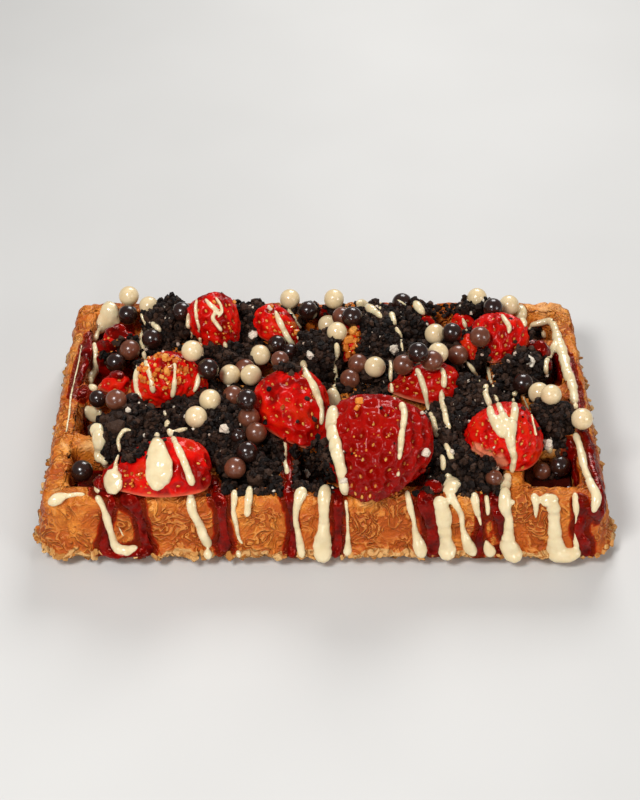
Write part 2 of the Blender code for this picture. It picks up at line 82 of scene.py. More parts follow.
def seenAt(picture, tree):
    # where the line of sight through a place in the picture meets the tree, and the normal there
    return tree.ray_cast(*sightLine(picture))[:2]


def treeOf(objects):
    points = []
    faces = []
    for obj in objects:
        start = len(points)
        points += [v.co.copy() for v in obj.data.vertices]
        faces += [tuple(i + start for i in face.vertices) for face in obj.data.polygons]
    return BVHTree.FromPolygons(points, faces)


def nearTree(places):
    tree = KDTree(len(places))
    for k, place in enumerate(places):
        tree.insert(place, k)
    tree.balance()
    return tree


def addPiece(name, mesh, material, replaced=(), smooth=True):
    piece = bpy.data.objects.new(name, mesh)
    scene.collection.objects.link(piece)
    mesh.materials.clear()
    mesh.materials.append(material)
    for face in mesh.polygons:
        face.use_smooth = smooth
    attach(piece, "root")
    if replaced:
        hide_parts(*replaced)
    return piece


def meshFrom(bm, name):
    mesh = bpy.data.meshes.new(name)
    bm.to_mesh(mesh)
    bm.free()
    mesh.validate()
    return mesh


def nodeCopy(name):
    # a CAD node's triangles are loose, so a copy of them is merged first
    bm = bmesh.new()
    bm.from_mesh(nodes[name].data)
    bmesh.ops.remove_doubles(bm, verts=bm.verts, dist=0.000005)
    return bm


def setMarks(mesh, name, values):
    # one colour per vertex, read by a material through its Attribute node
    layer = mesh.color_attributes.new(name, "FLOAT_COLOR", "POINT")
    flat = np.ones((len(mesh.vertices), 4), dtype=np.float32)
    flat[:, :3] = np.array(values, dtype=np.float32).reshape(-1, 3)
    layer.data.foreach_set("color", flat.ravel())


def smoothStep(low, high, value):
    t = max(0.0, min(1.0, (value - low) / (high - low)))
    return t * t * (3 - 2 * t)


# materials

def newMaterial(name, settings):
    material = bpy.data.materials.new(name)
    material.use_nodes = True
    shader = material.node_tree.nodes["Principled BSDF"]
    for socket, value in settings.items():
        shader.inputs[socket].default_value = value
    return material, material.node_tree, shader


def addNode(tree, kind, inputs=None, **settings):
    node = tree.nodes.new(kind)
    for key, value in settings.items():
        setattr(node, key, value)
    for key, value in (inputs or {}).items():
        if isinstance(value, bpy.types.NodeSocket):
            tree.links.new(value, node.inputs[key])
        else:
            node.inputs[key].default_value = value
    return node


def noiseFor(tree, coordinates, size, detail=4.0, roughness=0.55, distortion=0.0):
    # size is the real width of the pattern's lumps in metres
    return addNode(tree, "ShaderNodeTexNoise", {
        "Vector": coordinates, "Scale": 1 / size, "Detail": detail,
        "Roughness": roughness, "Distortion": distortion}).outputs["Fac"]


def rampFor(tree, value, stops):
    ramp = addNode(tree, "ShaderNodeValToRGB", {"Fac": value})
    elements = ramp.color_ramp.elements
    while len(elements) < len(stops):
        elements.new(0.5)
    for element, (place, colour) in zip(elements, stops):
        element.position = place
        element.color = (*colour, 1.0)
    return ramp.outputs["Color"]


def mixFor(tree, amount, first, second):
    mix = addNode(tree, "ShaderNodeMix", data_type="RGBA")
    for key, value in ((0, amount), (6, first), (7, second)):
        if isinstance(value, bpy.types.NodeSocket):
            tree.links.new(value, mix.inputs[key])
        elif key == 0:
            mix.inputs[key].default_value = value
        else:
            mix.inputs[key].default_value = (*value, 1.0)
    return mix.outputs[2]


def mathFor(tree, operation, first, second=0.0):
    return addNode(tree, "ShaderNodeMath", {0: first, 1: second}, operation=operation).outputs[0]


def sumFor(tree, first, second):
    return mathFor(tree, "ADD", first, second)


def timesFor(tree, first, second):
    return mathFor(tree, "MULTIPLY", first, second)


def rangeFor(tree, value, low, high, toLow=0.0, toHigh=1.0):
    return addNode(tree, "ShaderNodeMapRange", {
        "Value": value, "From Min": low, "From Max": high, "To Min": toLow, "To Max": toHigh}).outputs[0]


def marksFor(tree, name):
    marks = addNode(tree, "ShaderNodeAttribute", attribute_name=name, attribute_type="GEOMETRY")
    return addNode(tree, "ShaderNodeSeparateColor", {"Color": marks.outputs["Color"]}).outputs


def bumpFor(tree, shader, height, distance, strength=1.0):
    bump = addNode(tree, "ShaderNodeBump", {"Height": height, "Distance": distance, "Strength": strength})
    tree.links.new(bump.outputs["Normal"], shader.inputs["Normal"])


crustLook = dict(  # colours, then the real sizes of the patterns in metres
    peach=(0.90, 0.46, 0.155), golden=(0.74, 0.225, 0.022), brown=(0.50, 0.092, 0.004),
    # the crease colour is painted shade and the ridge colour a painted highlight, both laid on the crust's
    # relief; the seam's darker pale is painted shade too
    crease=(0.25, 0.036, 0.0015), ridgeHighlight=(0.88, 0.40, 0.090), pale=(0.66, 0.35, 0.12),
    paleSeamShade=(0.40, 0.13, 0.018), stain=(0.11, 0.0010, 0.0002), stainThin=(0.44, 0.022, 0.002),
    wetShine=(1.0, 0.22, 0.14), patchSize=0.014, swirlSize=0.0064, wildSize=0.009, poreSize=0.0012,
    curls=42.0, palingFrom=0.019, palingTo=0.031, relief=0.0011, shine=0.26)


def crustMaterial():
    look = crustLook
    material, tree, shader = newMaterial("crust", {"Specular IOR Level": look["shine"]})
    place = addNode(tree, "ShaderNodeTexCoord").outputs["Object"]
    patches = noiseFor(tree, place, look["patchSize"], 3.0, 0.6)
    swirl = noiseFor(tree, place, look["swirlSize"], 2.5, 0.55, 0.9)
    wildness = noiseFor(tree, place, look["wildSize"], 2.0, 0.5, 0.4)
    wildness = rangeFor(tree, wildness, 0.38, 0.56, 0.25, 1.0)
    pores = noiseFor(tree, place, look["poreSize"], 3.0, 0.6, 0.4)
    pale, stain, cavityShade = marksFor(tree, "crustMarks")[:3]
    # contour lines of the swirl make the curls of the crust
    curls = mathFor(tree, "SINE", timesFor(tree, swirl, look["curls"]))
    curls = rangeFor(tree, curls, -1.0, 1.0)
    # the top of the walls and the ribs are paler, the foot is browner
    height = addNode(tree, "ShaderNodeSeparateXYZ")
    tree.links.new(place, height.inputs[0])
    topPaling = rangeFor(tree, height.outputs["Z"], look["palingFrom"], look["palingTo"], -0.09, 0.13)
    topPaling = mathFor(tree, "SUBTRACT", patches, topPaling)
    baked = rampFor(tree, topPaling, [(0.30, look["peach"]), (0.43, look["golden"]), (0.58, look["brown"])])
    # painted shade in the troughs of the curls, and a painted highlight on their crests
    dark = timesFor(tree, rangeFor(tree, curls, 0.38, 0.02, 0.0, 0.55), wildness)
    colour = mixFor(tree, dark, baked, look["crease"])
    bright = timesFor(tree, rangeFor(tree, curls, 0.72, 1.0, 0.0, 0.5), wildness)
    colour = mixFor(tree, bright, colour, look["ridgeHighlight"])
    # painted shade in the pores, in the crease colour
    colour = mixFor(tree, rangeFor(tree, pores, 0.37, 0.29, 0.0, 0.75), colour, look["crease"])
    # painted shade in the hollows of the crags and on the pocket floors
    colour = mixFor(tree, timesFor(tree, cavityShade, 0.6), colour, look["crease"])
    # the pale torn seam and the places soaked with sauce have uneven edges
    uneven = mathFor(tree, "SUBTRACT", swirl, 0.5)
    # the torn seam's troughs get painted shade
    torn = rampFor(tree, curls, [(0.0, look["paleSeamShade"]), (0.45, look["pale"])])
    ragged = sumFor(tree, pale, timesFor(tree, uneven, 1.3))
    colour = mixFor(tree, rangeFor(tree, ragged, 0.44, 0.58), colour, torn)
    wet = sumFor(tree, stain, timesFor(tree, uneven, 0.8))
    wetShare = rangeFor(tree, wet, 0.36, 0.52)
    soaked = rampFor(tree, wet, [(0.40, look["stainThin"]), (0.72, look["stain"])])
    colour = mixFor(tree, timesFor(tree, wetShare, 0.95), colour, soaked)
    tree.links.new(colour, shader.inputs["Base Color"])
    shine = mixFor(tree, wetShare, (1.0, 1.0, 1.0), look["wetShine"])
    tree.links.new(shine, shader.inputs["Specular Tint"])
    dry = rangeFor(tree, curls, 0.0, 1.0, 0.54, 0.27)
    roughness = timesFor(tree, dry, rangeFor(tree, wetShare, 0.0, 1.0, 1.0, 0.3))
    tree.links.new(roughness, shader.inputs["Roughness"])
    ripple = timesFor(tree, timesFor(tree, curls, 0.62), wildness)
    relief = sumFor(tree, ripple, timesFor(tree, pores, 0.5))
    relief = timesFor(tree, relief, rangeFor(tree, wetShare, 0.0, 1.0, 1.0, 0.4))
    bumpFor(tree, shader, relief, look["relief"])
    return material


berryLook = dict(
    bright=(0.74, 0.0045, 0.0025), deep=(0.24, 0.0014, 0.0003), orange=(0.72, 0.030, 0.003),
    flesh=(0.74, 0.13, 0.055), core=(0.84, 0.45, 0.26), blotchSize=0.009, rippleSize=0.0022,
    relief=0.0005, bumpStrength=0.5,
    surface={"Roughness": 0.26, "Specular IOR Level": 0.16, "Coat Weight": 0.17, "Coat Roughness": 0.04,
             "Subsurface Weight": 0.06, "Subsurface Scale": 0.002, "Subsurface Radius": (1.0, 0.25, 0.12),
             "Specular Tint": (1.0, 0.36, 0.32, 1.0)})


def berryMaterial():
    look = berryLook
    material, tree, shader = newMaterial("strawberryFlesh", look["surface"])
    place = addNode(tree, "ShaderNodeTexCoord").outputs["Object"]
    blotches = noiseFor(tree, place, look["blotchSize"], 3.0, 0.6, 0.5)
    ripples = noiseFor(tree, place, look["rippleSize"], 3.0, 0.5, 1.0)
    # the third mark darkens the skin, more towards the tip, and is nearness to the core on the cut face
    cut, dimpleShade, third = marksFor(tree, "berryMarks")[:3]
    skin = rampFor(tree, blotches, [(0.36, look["deep"]), (0.50, look["bright"]), (0.72, look["orange"])])
    skin = mixFor(tree, third, skin, look["deep"])
    # painted shade in the dimples round the seeds
    skin = mixFor(tree, timesFor(tree, dimpleShade, 0.45), skin, look["deep"])
    inside = mixFor(tree, timesFor(tree, third, ripples), look["flesh"], look["core"])
    tree.links.new(mixFor(tree, cut, skin, inside), shader.inputs["Base Color"])
    height = sumFor(tree, ripples, timesFor(tree, blotches, 0.6))
    bumpFor(tree, shader, height, look["relief"], look["bumpStrength"])
    return material


def smoothMaterial(name, colours, size, roughness, coat=0.0, bump=0.0, extra=None):
    # a plain skin whose colour drifts between two shades, with a little unevenness
    surface = {"Roughness": roughness, "Coat Weight": coat, **(extra or {})}
    material, tree, shader = newMaterial(name, surface)
    place = addNode(tree, "ShaderNodeTexCoord").outputs["Object"]
    drift = noiseFor(tree, place, size, 3.0, 0.6)
    shades = rampFor(tree, drift, [(0.38, colours[0]), (0.62, colours[1])])
    tree.links.new(shades, shader.inputs["Base Color"])
    if bump:
        bumpFor(tree, shader, noiseFor(tree, place, size * 0.5, 2.0), bump)
    return material


def grainMaterial(name, colours, roughness, size=0.0007, coat=0.0):
    # each grain carries its own shade in the attribute
    surface = {"Roughness": roughness, "Coat Weight": coat, "Specular IOR Level": 0.16}
    material, tree, shader = newMaterial(name, surface)
    place = addNode(tree, "ShaderNodeTexCoord").outputs["Object"]
    shade = marksFor(tree, "grainMarks")[0]
    speckle = noiseFor(tree, place, size, 3.0, 0.65)
    mixed = sumFor(tree, timesFor(tree, shade, 0.6), timesFor(tree, speckle, 0.4))
    shades = rampFor(tree, mixed, list(zip((0.2, 0.55, 0.9), colours)))
    tree.links.new(shades, shader.inputs["Base Color"])
    bumpFor(tree, shader, speckle, 0.0004)
    return material


creamSoftness = {"Subsurface Weight": 0.06, "Subsurface Scale": 0.002}
redShine = {"Specular IOR Level": 0.40, "Specular Tint": (1.0, 0.20, 0.13, 1.0), "Coat Roughness": 0.02}
smoothLooks = {  # two shades, size of their drift in metres, roughness, coat, height of the bumps
    "whiteCream": (((0.76, 0.60, 0.34), (0.82, 0.68, 0.42)), 0.004, 0.2, 0.3, 0.00008, creamSoftness),
    "redSauce": (((0.065, 0.0004, 0.0001), (0.21, 0.0016, 0.0002)), 0.004, 0.10, 0.10, 0.0005, redShine),
    "brownSauce": (((0.030, 0.0030, 0.0015), (0.060, 0.006, 0.003)), 0.006, 0.08, 0.2, 0.0001),
    "whitePearl": (((0.76, 0.57, 0.31), (0.82, 0.64, 0.38)), 0.003, 0.25, 0.4, 0.00003),
    "milkPearl": (((0.120, 0.034, 0.016), (0.180, 0.056, 0.028)), 0.003, 0.28, 0.3, 0.00003),
    "darkPearl": (((0.015, 0.0050, 0.0034), (0.030, 0.0105, 0.0065)), 0.003, 0.22, 0.2, 0.00003),
    "paleFloor": (((0.60, 0.59, 0.57), (0.63, 0.62, 0.60)), 0.2, 0.6),
}
grainLooks = {  # dark, middle and light shade, roughness, size of the speckles in metres, coat
    "cookieCrumb": (((0.0022, 0.0010, 0.0006), (0.0155, 0.0066, 0.0036), (0.080, 0.040, 0.024)), 0.55),
    "biscuitBit": (((0.38, 0.065, 0.006), (0.72, 0.20, 0.020), (0.86, 0.42, 0.09)), 0.25, 0.0009, 0.4),
    "creamBit": (((0.50, 0.36, 0.27), (0.76, 0.64, 0.50), (0.88, 0.80, 0.66)), 0.6),
    "tornCrust": (((0.40, 0.13, 0.018), (0.60, 0.29, 0.082), (0.78, 0.50, 0.21)), 0.6, 0.0009),
    "berrySeed": (((0.40, 0.07, 0.010), (0.62, 0.22, 0.030), (0.80, 0.46, 0.10)), 0.3, 0.0006, 0.5),
}
skins = {"crust": crustMaterial(), "strawberry": berryMaterial()}
for name, look in smoothLooks.items():
    skins[name] = smoothMaterial(name, *look)
for name, look in grainLooks.items():
    skins[name] = grainMaterial(name, *look)
print("materials made:", len(skins))


# waffle crust

crust = dict(
    topLength=0.176, topDepth=0.103, height=0.025, corner=0.0052, columns=7, ribWidth=0.0062,
    rowRibs=(-0.0484, -0.0238, 0.0015, 0.0262, 0.0484), upperDepth=0.0130, lowerDepth=0.0075,
    wallStart=-0.0007, wallEnd=0.0021, pocketRound=0.0026, ribDome=0.0004,
    ribLines=(-0.0018, -0.0007, 0.0007, 0.0018), wallLines=7, floorLines=8,
    crags=0.00070, cragSize=0.0040, cragSwirlSize=1.3, creaseSize=0.75, creaseWidth=0.25, swirl=0.0018,
    cragsOnSides=1.35, cragsOnTop=0.75, cragsBelow=0.5, flash=0.0024, raggedSize=0.0034,
    seamHeight=0.0048, seamWidth=0.0012, seamRise=0.0008, spikes=0.0011, spikeSize=0.0013,
    sideLevels=(0.0, 0.0010, 0.0020, 0.0029, 0.0036, 0.0042, 0.0048, 0.0055, 0.0064, 0.0076, 0.0090,
                0.0106, 0.0124, 0.0142, 0.0160, 0.0178, 0.0196, 0.0214, 0.0230, 0.0242, 0.0250),
    sideProfile=((0, 0.0002), (0.0030, 0.0016), (0.0046, 0.0056), (0.0068, 0.0037), (0.0125, 0.0028),
                 (0.0195, 0.0015), (0.0240, 0.0004), (0.0250, -0.0008)))
onTop, onBottom, onSide, onFoot = 1, 2, 3, 4  # where a point of the crust lies


def ribMiddles():
    step = (crust["topLength"] - crust["ribWidth"]) / crust["columns"]
    columns = [(i - crust["columns"] / 2) * step for i in range(crust["columns"] + 1)]
    return columns, list(crust["rowRibs"])


def crustLines(middles):
    # places of the grid's lines: close on the pocket walls, wider on ribs and floors
    half = crust["ribWidth"] / 2
    start, end = crust["wallStart"], crust["wallEnd"]
    onWall, onFloor = crust["wallLines"], crust["floorLines"]
    steps = [0.5 - math.sin(math.asin(1 - 2 * k / onWall) / 3) for k in range(onWall + 1)]
    wall = [start + (end - start) * t for t in steps]
    lines = [middles[0] - half]
    for k, middle in enumerate(middles):
        lines += [middle + offset for offset in crust["ribLines"]]
        if k + 1 < len(middles):
            low, high = middle + half, middles[k + 1] - half
            lines += [low + d for d in wall]
            lines += [low + end + (high - low - 2 * end) * j / onFloor for j in range(1, onFloor)]
            lines += [high - d for d in reversed(wall)]
    lines.append(middles[-1] + half)
    return lines


def pocketShare(x, y, xMiddles, yMiddles):
    # 0 on a rib, 1 on a pocket floor, in between on the walls
    half = crust["ribWidth"] / 2
    dx = min(abs(x - m) for m in xMiddles) - half
    dy = min(abs(y - m) for m in yMiddles) - half
    r = crust["pocketRound"]
    if dx < r and dy < r:
        d = r - math.hypot(r - dx, r - dy)
    else:
        d = min(dx, dy)
    return smoothStep(crust["wallStart"], crust["wallEnd"], d)


def cornerStart():
    return crust["topLength"] / 2 - crust["corner"], crust["topDepth"] / 2 - crust["corner"]


def roundCorner(x, y):
    # the square corner of the grid drawn in to the block's rounded corner
    halfX, halfY = cornerStart()
    u = max(0.0, abs(x) - halfX) / crust["corner"]
    v = max(0.0, abs(y) - halfY) / crust["corner"]
    if u and v:
        scale = max(u, v) / math.hypot(u, v)
        x = math.copysign(halfX + u * scale * crust["corner"], x)
        y = math.copysign(halfY + v * scale * crust["corner"], y)
    return x, y


def outwardFrom(x, y):
    halfX, halfY = cornerStart()
    away = Vector((x - max(-halfX, min(halfX, x)), y - max(-halfY, min(halfY, y)), 0))
    return away.normalized()


def profileReach(z):
    points = crust["sideProfile"]
    for (z0, r0), (z1, r1) in zip(points, points[1:]):
        if z <= z1:
            t = (z - z0) / (z1 - z0)
            return r0 + (r1 - r0) * t
    return points[-1][1]


def cragHeight(place):
    # swirling crags: noise looked up at swirled places, with sharp creases
    size, wide = crust["cragSize"], crust["creaseWidth"]
    swirlSize = size * crust["cragSwirlSize"]
    swirl = Vector([noise.noise(place / swirlSize + Vector((11 * k, 5 * k, 3))) for k in range(3)])
    there = place + swirl * crust["swirl"]
    fine = noise.noise(there / size)
    crease = abs(noise.noise(there / (size * crust["creaseSize"]) + Vector((4, 9, 2))))
    return fine * 0.9 + (min(crease, wide) / wide - 0.7) * 0.9


def crustGrids(bm):
    # the upper and the lower skin, each a grid with pockets
    kindLayer, shareLayer = bm.verts.layers.int["kind"], bm.verts.layers.float["share"]
    xMiddles, yMiddles = ribMiddles()
    xLines, yLines = crustLines(xMiddles), crustLines(yMiddles)
    lastX, lastY = len(xLines) - 1, len(yLines) - 1
    for kind in (onTop, onBottom):
        made = bmesh.ops.create_grid(bm, x_segments=lastX, y_segments=lastY, size=1.0)
        if kind == onBottom:
            bmesh.ops.reverse_faces(bm, faces=[f for f in bm.faces if f.verts[0][kindLayer] == 0])
        for v in made["verts"]:
            x = xLines[round((v.co.x + 1) / 2 * lastX)]
            y = yLines[round((v.co.y + 1) / 2 * lastY)]
            share = pocketShare(x, y, xMiddles, yMiddles)
            v[shareLayer] = share
            v[kindLayer] = kind
            if kind == onTop:
                dome = crust["ribDome"] * (1 - share)
                z = crust["height"] - crust["upperDepth"] * share + dome
            else:
                z = crust["lowerDepth"] * share
            v.co = (*roundCorner(x, y), z)


def crustSides(bm):
    # the band between the skins, bent to the profile, with the ragged seam near its foot
    # the loop reaches the whole top skin too and makes it onSide, so the pocket floors end 3 mm
    # below the solid's, and ribDome, cragsOnTop and floorShade change nothing
    kindLayer = bm.verts.layers.int["kind"]
    levels = crust["sideLevels"]
    borders = [edge for edge in bm.edges if edge.is_boundary]
    for edge in borders:
        for v in edge.verts:
            v.co.z = crust["height"] if v[kindLayer] == onTop else 0.0
    band = bmesh.ops.bridge_loops(bm, edges=borders)["edges"]
    uprights = [e for e in band if abs(e.verts[0].co.z - e.verts[1].co.z) > crust["height"] / 2]
    for item in bmesh.ops.subdivide_edges(bm, edges=uprights, cuts=len(levels) - 2)["geom_inner"]:
        if isinstance(item, bmesh.types.BMVert):
            item[kindLayer] = onSide
    for v in bm.verts:
        kind = v[kindLayer]
        if kind != onSide and not any(e.other_vert(v)[kindLayer] == onSide for e in v.link_edges):
            continue
        z = levels[round(v.co.z / crust["height"] * (len(levels) - 1))]
        away = outwardFrom(v.co.x, v.co.y)
        along = Vector((v.co.x, v.co.y, 0))
        nearSeam = math.exp(-((z - crust["seamHeight"]) / crust["seamWidth"]) ** 2)
        ragged = noise.noise(along / crust["raggedSize"] + Vector((7, 3, 5)))
        spike = abs(noise.noise(along / crust["spikeSize"] + Vector((2, 8, 1)))) - 0.2
        reach = profileReach(z) + nearSeam * (crust["flash"] * ragged + crust["spikes"] * spike)
        z += nearSeam * crust["seamRise"] * ragged
        v.co = (v.co.x + away.x * reach, v.co.y + away.y * reach, z)
        v[kindLayer] = onFoot if kind == onBottom else onSide


def crustCrags(bm):
    layers = bm.verts.layers
    moves = []
    bm.normal_update()
    for v in bm.verts:
        kind = v[layers.int["kind"]]
        crag = cragHeight(v.co)
        if kind in (onBottom, onFoot):
            share = crust["cragsBelow"] if v[layers.float["share"]] > 0.02 else 0.0
        else:
            share = crust["cragsOnSides"] if kind == onSide else crust["cragsOnTop"]
        moves.append((v, v.normal * crag * (crust["crags"] * share), crag))
    for v, move, crag in moves:
        v.co += move
        v.co.z = max(0.0, v.co.z)
        v[layers.float["crag"]] = crag


def makeCrust():
    bm = bmesh.new()
    layers = bm.verts.layers
    for name in ("share", "crag"):
        layers.float.new(name)
    layers.int.new("kind")
    crustGrids(bm)
    crustSides(bm)
    crustCrags(bm)
    share, crag, kind = layers.float["share"], layers.float["crag"], layers.int["kind"]
    facts = [(v[share], v[crag], v[kind]) for v in bm.verts]
    return addPiece("waffle_crust", meshFrom(bm, "waffleCrust"), skins["crust"], ["waffle"]), facts


waffle, crustFacts = makeCrust()
print("waffle crust made:", len(waffle.data.polygons), "faces")


# many small things in one mesh

grainShape = dict(crumbReach=(0.62, 1.25), lumpRelief=0.42, lumpWaves=1.7, lumpUneven=0.10,
                  chunkSize=1.7, chunkReach=(0.8, 1.15), chunkBevel=0.28)


def template(kind, seed=0):
    # one small shape: its points and faces, copied many times by meshOfCopies
    draws = random.Random(seed)
    shape = grainShape
    bm = bmesh.new()
    if kind == "crumb":  # an angular grain of 20 triangles
        bmesh.ops.create_icosphere(bm, subdivisions=1, radius=1.0)
        for v in bm.verts:
            v.co *= draws.uniform(*shape["crumbReach"])
    elif kind == "lump":  # a bigger broken piece of 80 triangles
        bmesh.ops.create_icosphere(bm, subdivisions=2, radius=1.0)
        for v in bm.verts:
            relief = noise.noise(v.co * shape["lumpWaves"] + Vector((seed * 7.7, 0, 0)))
            uneven = draws.uniform(-shape["lumpUneven"], shape["lumpUneven"])
            v.co *= 1.0 + shape["lumpRelief"] * relief + uneven
    elif kind == "chunk":  # a cut cube with worn corners
        bmesh.ops.create_cube(bm, size=shape["chunkSize"])
        for v in bm.verts:
            v.co *= draws.uniform(*shape["chunkReach"])
        bmesh.ops.bevel(bm, geom=list(bm.edges), offset=shape["chunkBevel"], segments=1, profile=0.5,
                        affect="EDGES", material=-1)
    else:  # a smooth drop: seeds and small beads
        bmesh.ops.create_uvsphere(bm, u_segments=8, v_segments=5, radius=1.0)
    bmesh.ops.triangulate(bm, faces=bm.faces)
    bmesh.ops.recalc_face_normals(bm, faces=bm.faces)
    points = np.array([v.co[:] for v in bm.verts])
    faces = np.array([[v.index for v in f.verts] for f in bm.faces])
    bm.free()
    return points, faces


def templates(kind, count, seed=0):
    return [template(kind, seed + k) for k in range(count)]


def meshOfCopies(name, shapes, copies):
    # copies: (which shape, turn and size as a 3 x 3 matrix, place, shade)
    allPoints, allFaces, shades = [], [], []
    start = 0
    for which, turn, place, shade in copies:
        points, faces = shapes[which]
        allPoints.append(points @ np.array(turn).T + np.array(place))
        allFaces.append(faces + start)
        shades.append(np.full(len(points), shade))
        start += len(points)
    mesh = bpy.data.meshes.new(name)
    mesh.from_pydata(np.concatenate(allPoints).tolist(), [], np.concatenate(allFaces).tolist())
    return mesh, np.concatenate(shades)


def joinCopies(name, shapes, copies, skin, smooth=False):
    mesh, shades = meshOfCopies(name, shapes, copies)
    piece = addPiece(name, mesh, skins[skin], smooth=smooth)
    setMarks(mesh, "grainMarks", np.stack([shades, shades, shades], axis=1))
    return piece


def facing(side, up, size):
    # a matrix whose X is side and whose Z is up, scaled by size
    return Matrix((side, up.cross(side), up)).transposed() @ Matrix.Diagonal(size)


def standing(normal, spin, size):
    # a matrix whose Z is the skin's normal, turned by spin and scaled by size
    up = Vector(normal).normalized()
    side = up.orthogonal().normalized()
    return facing(Matrix.Rotation(spin, 3, up) @ side, up, size)


# strawberries

# sizes in metres, then in degrees: heading, where the tip points in plan, pitch, how far it is
# raised, and roll, the turn about its length
strawberries = {
    "strawberry_rear_left": (0.025, 0.017, 0.019, -58, -38, 20),
    "strawberry_rear_centre": (0.022, 0.013, 0.014, -38, -12, 10),
    "strawberry_slice_rear_right": (0.0110, 0.0085, 0.009, -12, -8, 0),
    "strawberry_rear_right": (0.0210, 0.0210, 0.018, -105, -6, 8),
    "strawberry_chip_rear": (0.008, 0.006, 0.008, 20, 0, 0),
    "strawberry_slice_left_rear": (0.0130, 0.007, 0.009, 4, 0, 0),
    "strawberry_left": (0.0255, 0.0245, 0.025, 98, 6, 0),
    "strawberry_slice_left": (0.0115, 0.008, 0.009, 178, 0, 0),
    "strawberry_slice_centre": (0.017, 0.011, 0.010, -118, -14, 0),
    "strawberry_slice_right": (0.0115, 0.006, 0.009, -80, -15, 0),
    "strawberry_mid_right": (0.026, 0.017, 0.019, 176, 0, 10),
    "strawberry_centre": (0.032, 0.0245, 0.026, -66, -9, 0),
    "strawberry_right": (0.029, 0.0250, 0.027, 68, 8, 0),
    "strawberry_front_left": (0.0390, 0.0210, 0.025, 184, 0, 8),
    "strawberry_front_centre": (0.0380, 0.0335, 0.0265, -103, -14, 0),
}
berryDetails = {  # cut below the middle, darkening of the skin, depth of the dimples, pale flesh seen in the picture
    "strawberry_mid_right": dict(ripe=0.5),
    "strawberry_right": dict(flesh=((475, 451, 8), (487, 457, 9), (500, 461, 8))),
    "strawberry_front_centre": dict(cutLevel=0.22, ripe=0.75, rings=1.7),
}
berryShape = dict(
    faceSize=0.00052, seedGap=0.0038, seedGapLarge=0.0056, largeFrom=0.03, dimpleDepth=0.00085,
    dimpleRim=0.00062, dimpleWidth=0.33, rimAt=1.35, rimWidth=0.36, ripe=0.05, tipDarkening=0.35,
    rind=0.75, rindDepth=0.0016, edgeDepth=0.0015, seedMargin=0.0012, cutRing=0.09,
    seedSize=(0.00042, 0.00072, 0.00028), seedLift=0.00006, seedsTo=0.93, fleshUneven=5, fleshSoft=4,
    taper=0.30, belly=0.16, hollow=0.16, wobble=0.05)


def berrySpec(name):
    columns = ("length", "width", "thick", "heading", "pitch", "roll")
    return {**dict(zip(columns, strawberries[name])), **berryDetails.get(name, {})}


def shapeBerry(place, spec, seed):
    # unit sphere to strawberry: pointed tip at -Z, shoulders at +Z
    t = place.z
    taper = 1.0 + berryShape["taper"] * t - berryShape["belly"] * t * t
    shoulder = max(0.0, t - 0.6) / 0.4
    wobble = 1.0 + berryShape["wobble"] * noise.noise(place * 1.7 + Vector((seed * 3.1, 0, 0)))
    return Vector((place.x * taper * wobble * spec["width"] / 2,
                   place.y * taper * wobble * spec["thick"] / 2,
                   (t - berryShape["hollow"] * shoulder * shoulder) * spec["length"] / 2))


def berryTurn(spec):
    h, p = math.radians(spec["heading"]), math.radians(spec["pitch"])
    tip = Vector((math.cos(h) * math.cos(p), math.sin(h) * math.cos(p), math.sin(p)))
    upright = (Vector((0, 0, 1)) - tip * tip.z).normalized()
    upright = Matrix.Rotation(math.radians(spec["roll"]), 3, tip) @ upright
    return Matrix((upright.cross(-tip), upright, -tip)).transposed().to_4x4()


def seedPlaces(spec, seed, gap):
    # seeds in a spiral over the skin, as far apart as the real ones
    area = math.pi * spec["length"] * (spec["width"] + spec["thick"]) / 2
    count = max(12, int(area / (gap * gap)))
    places = []
    for k in range(count):
        t = 1 - 2 * (k + 0.5) / count
        turn = k * math.pi * (3 - math.sqrt(5))
        ring = math.sqrt(1 - t * t)
        if t < berryShape["seedsTo"]:
            places.append(shapeBerry(Vector((ring * math.cos(turn), ring * math.sin(turn), t)), spec, seed))
    return places


def berryBody(spec, seed, level):
    # the cut strawberry, lying along Z with its cut face towards -Y
    shape = berryShape
    bm = bmesh.new()
    bmesh.ops.create_uvsphere(
        bm, u_segments=max(20, int(2.6 * spec["width"] / shape["faceSize"])),
        v_segments=max(14, int(spec["length"] / shape["faceSize"])), radius=1.0)
    for v in bm.verts:
        v.co = shapeBerry(v.co, spec, seed)
    cut = bmesh.ops.bisect_plane(bm, geom=list(bm.verts) + list(bm.edges) + list(bm.faces), dist=0.00001,
                                 plane_co=(0, level, 0), plane_no=(0, -1, 0), clear_outer=True)
    rim = [item for item in cut["geom_cut"] if isinstance(item, bmesh.types.BMEdge)]
    face = bmesh.ops.contextual_create(bm, geom=rim)["faces"]
    ring = shape["cutRing"] * min(spec["width"], spec["length"])
    for k in range(3):
        bmesh.ops.inset_region(bm, faces=face, thickness=ring, depth=0.0)
    bmesh.ops.recalc_face_normals(bm, faces=bm.faces)
    bm.normal_update()
    return bm


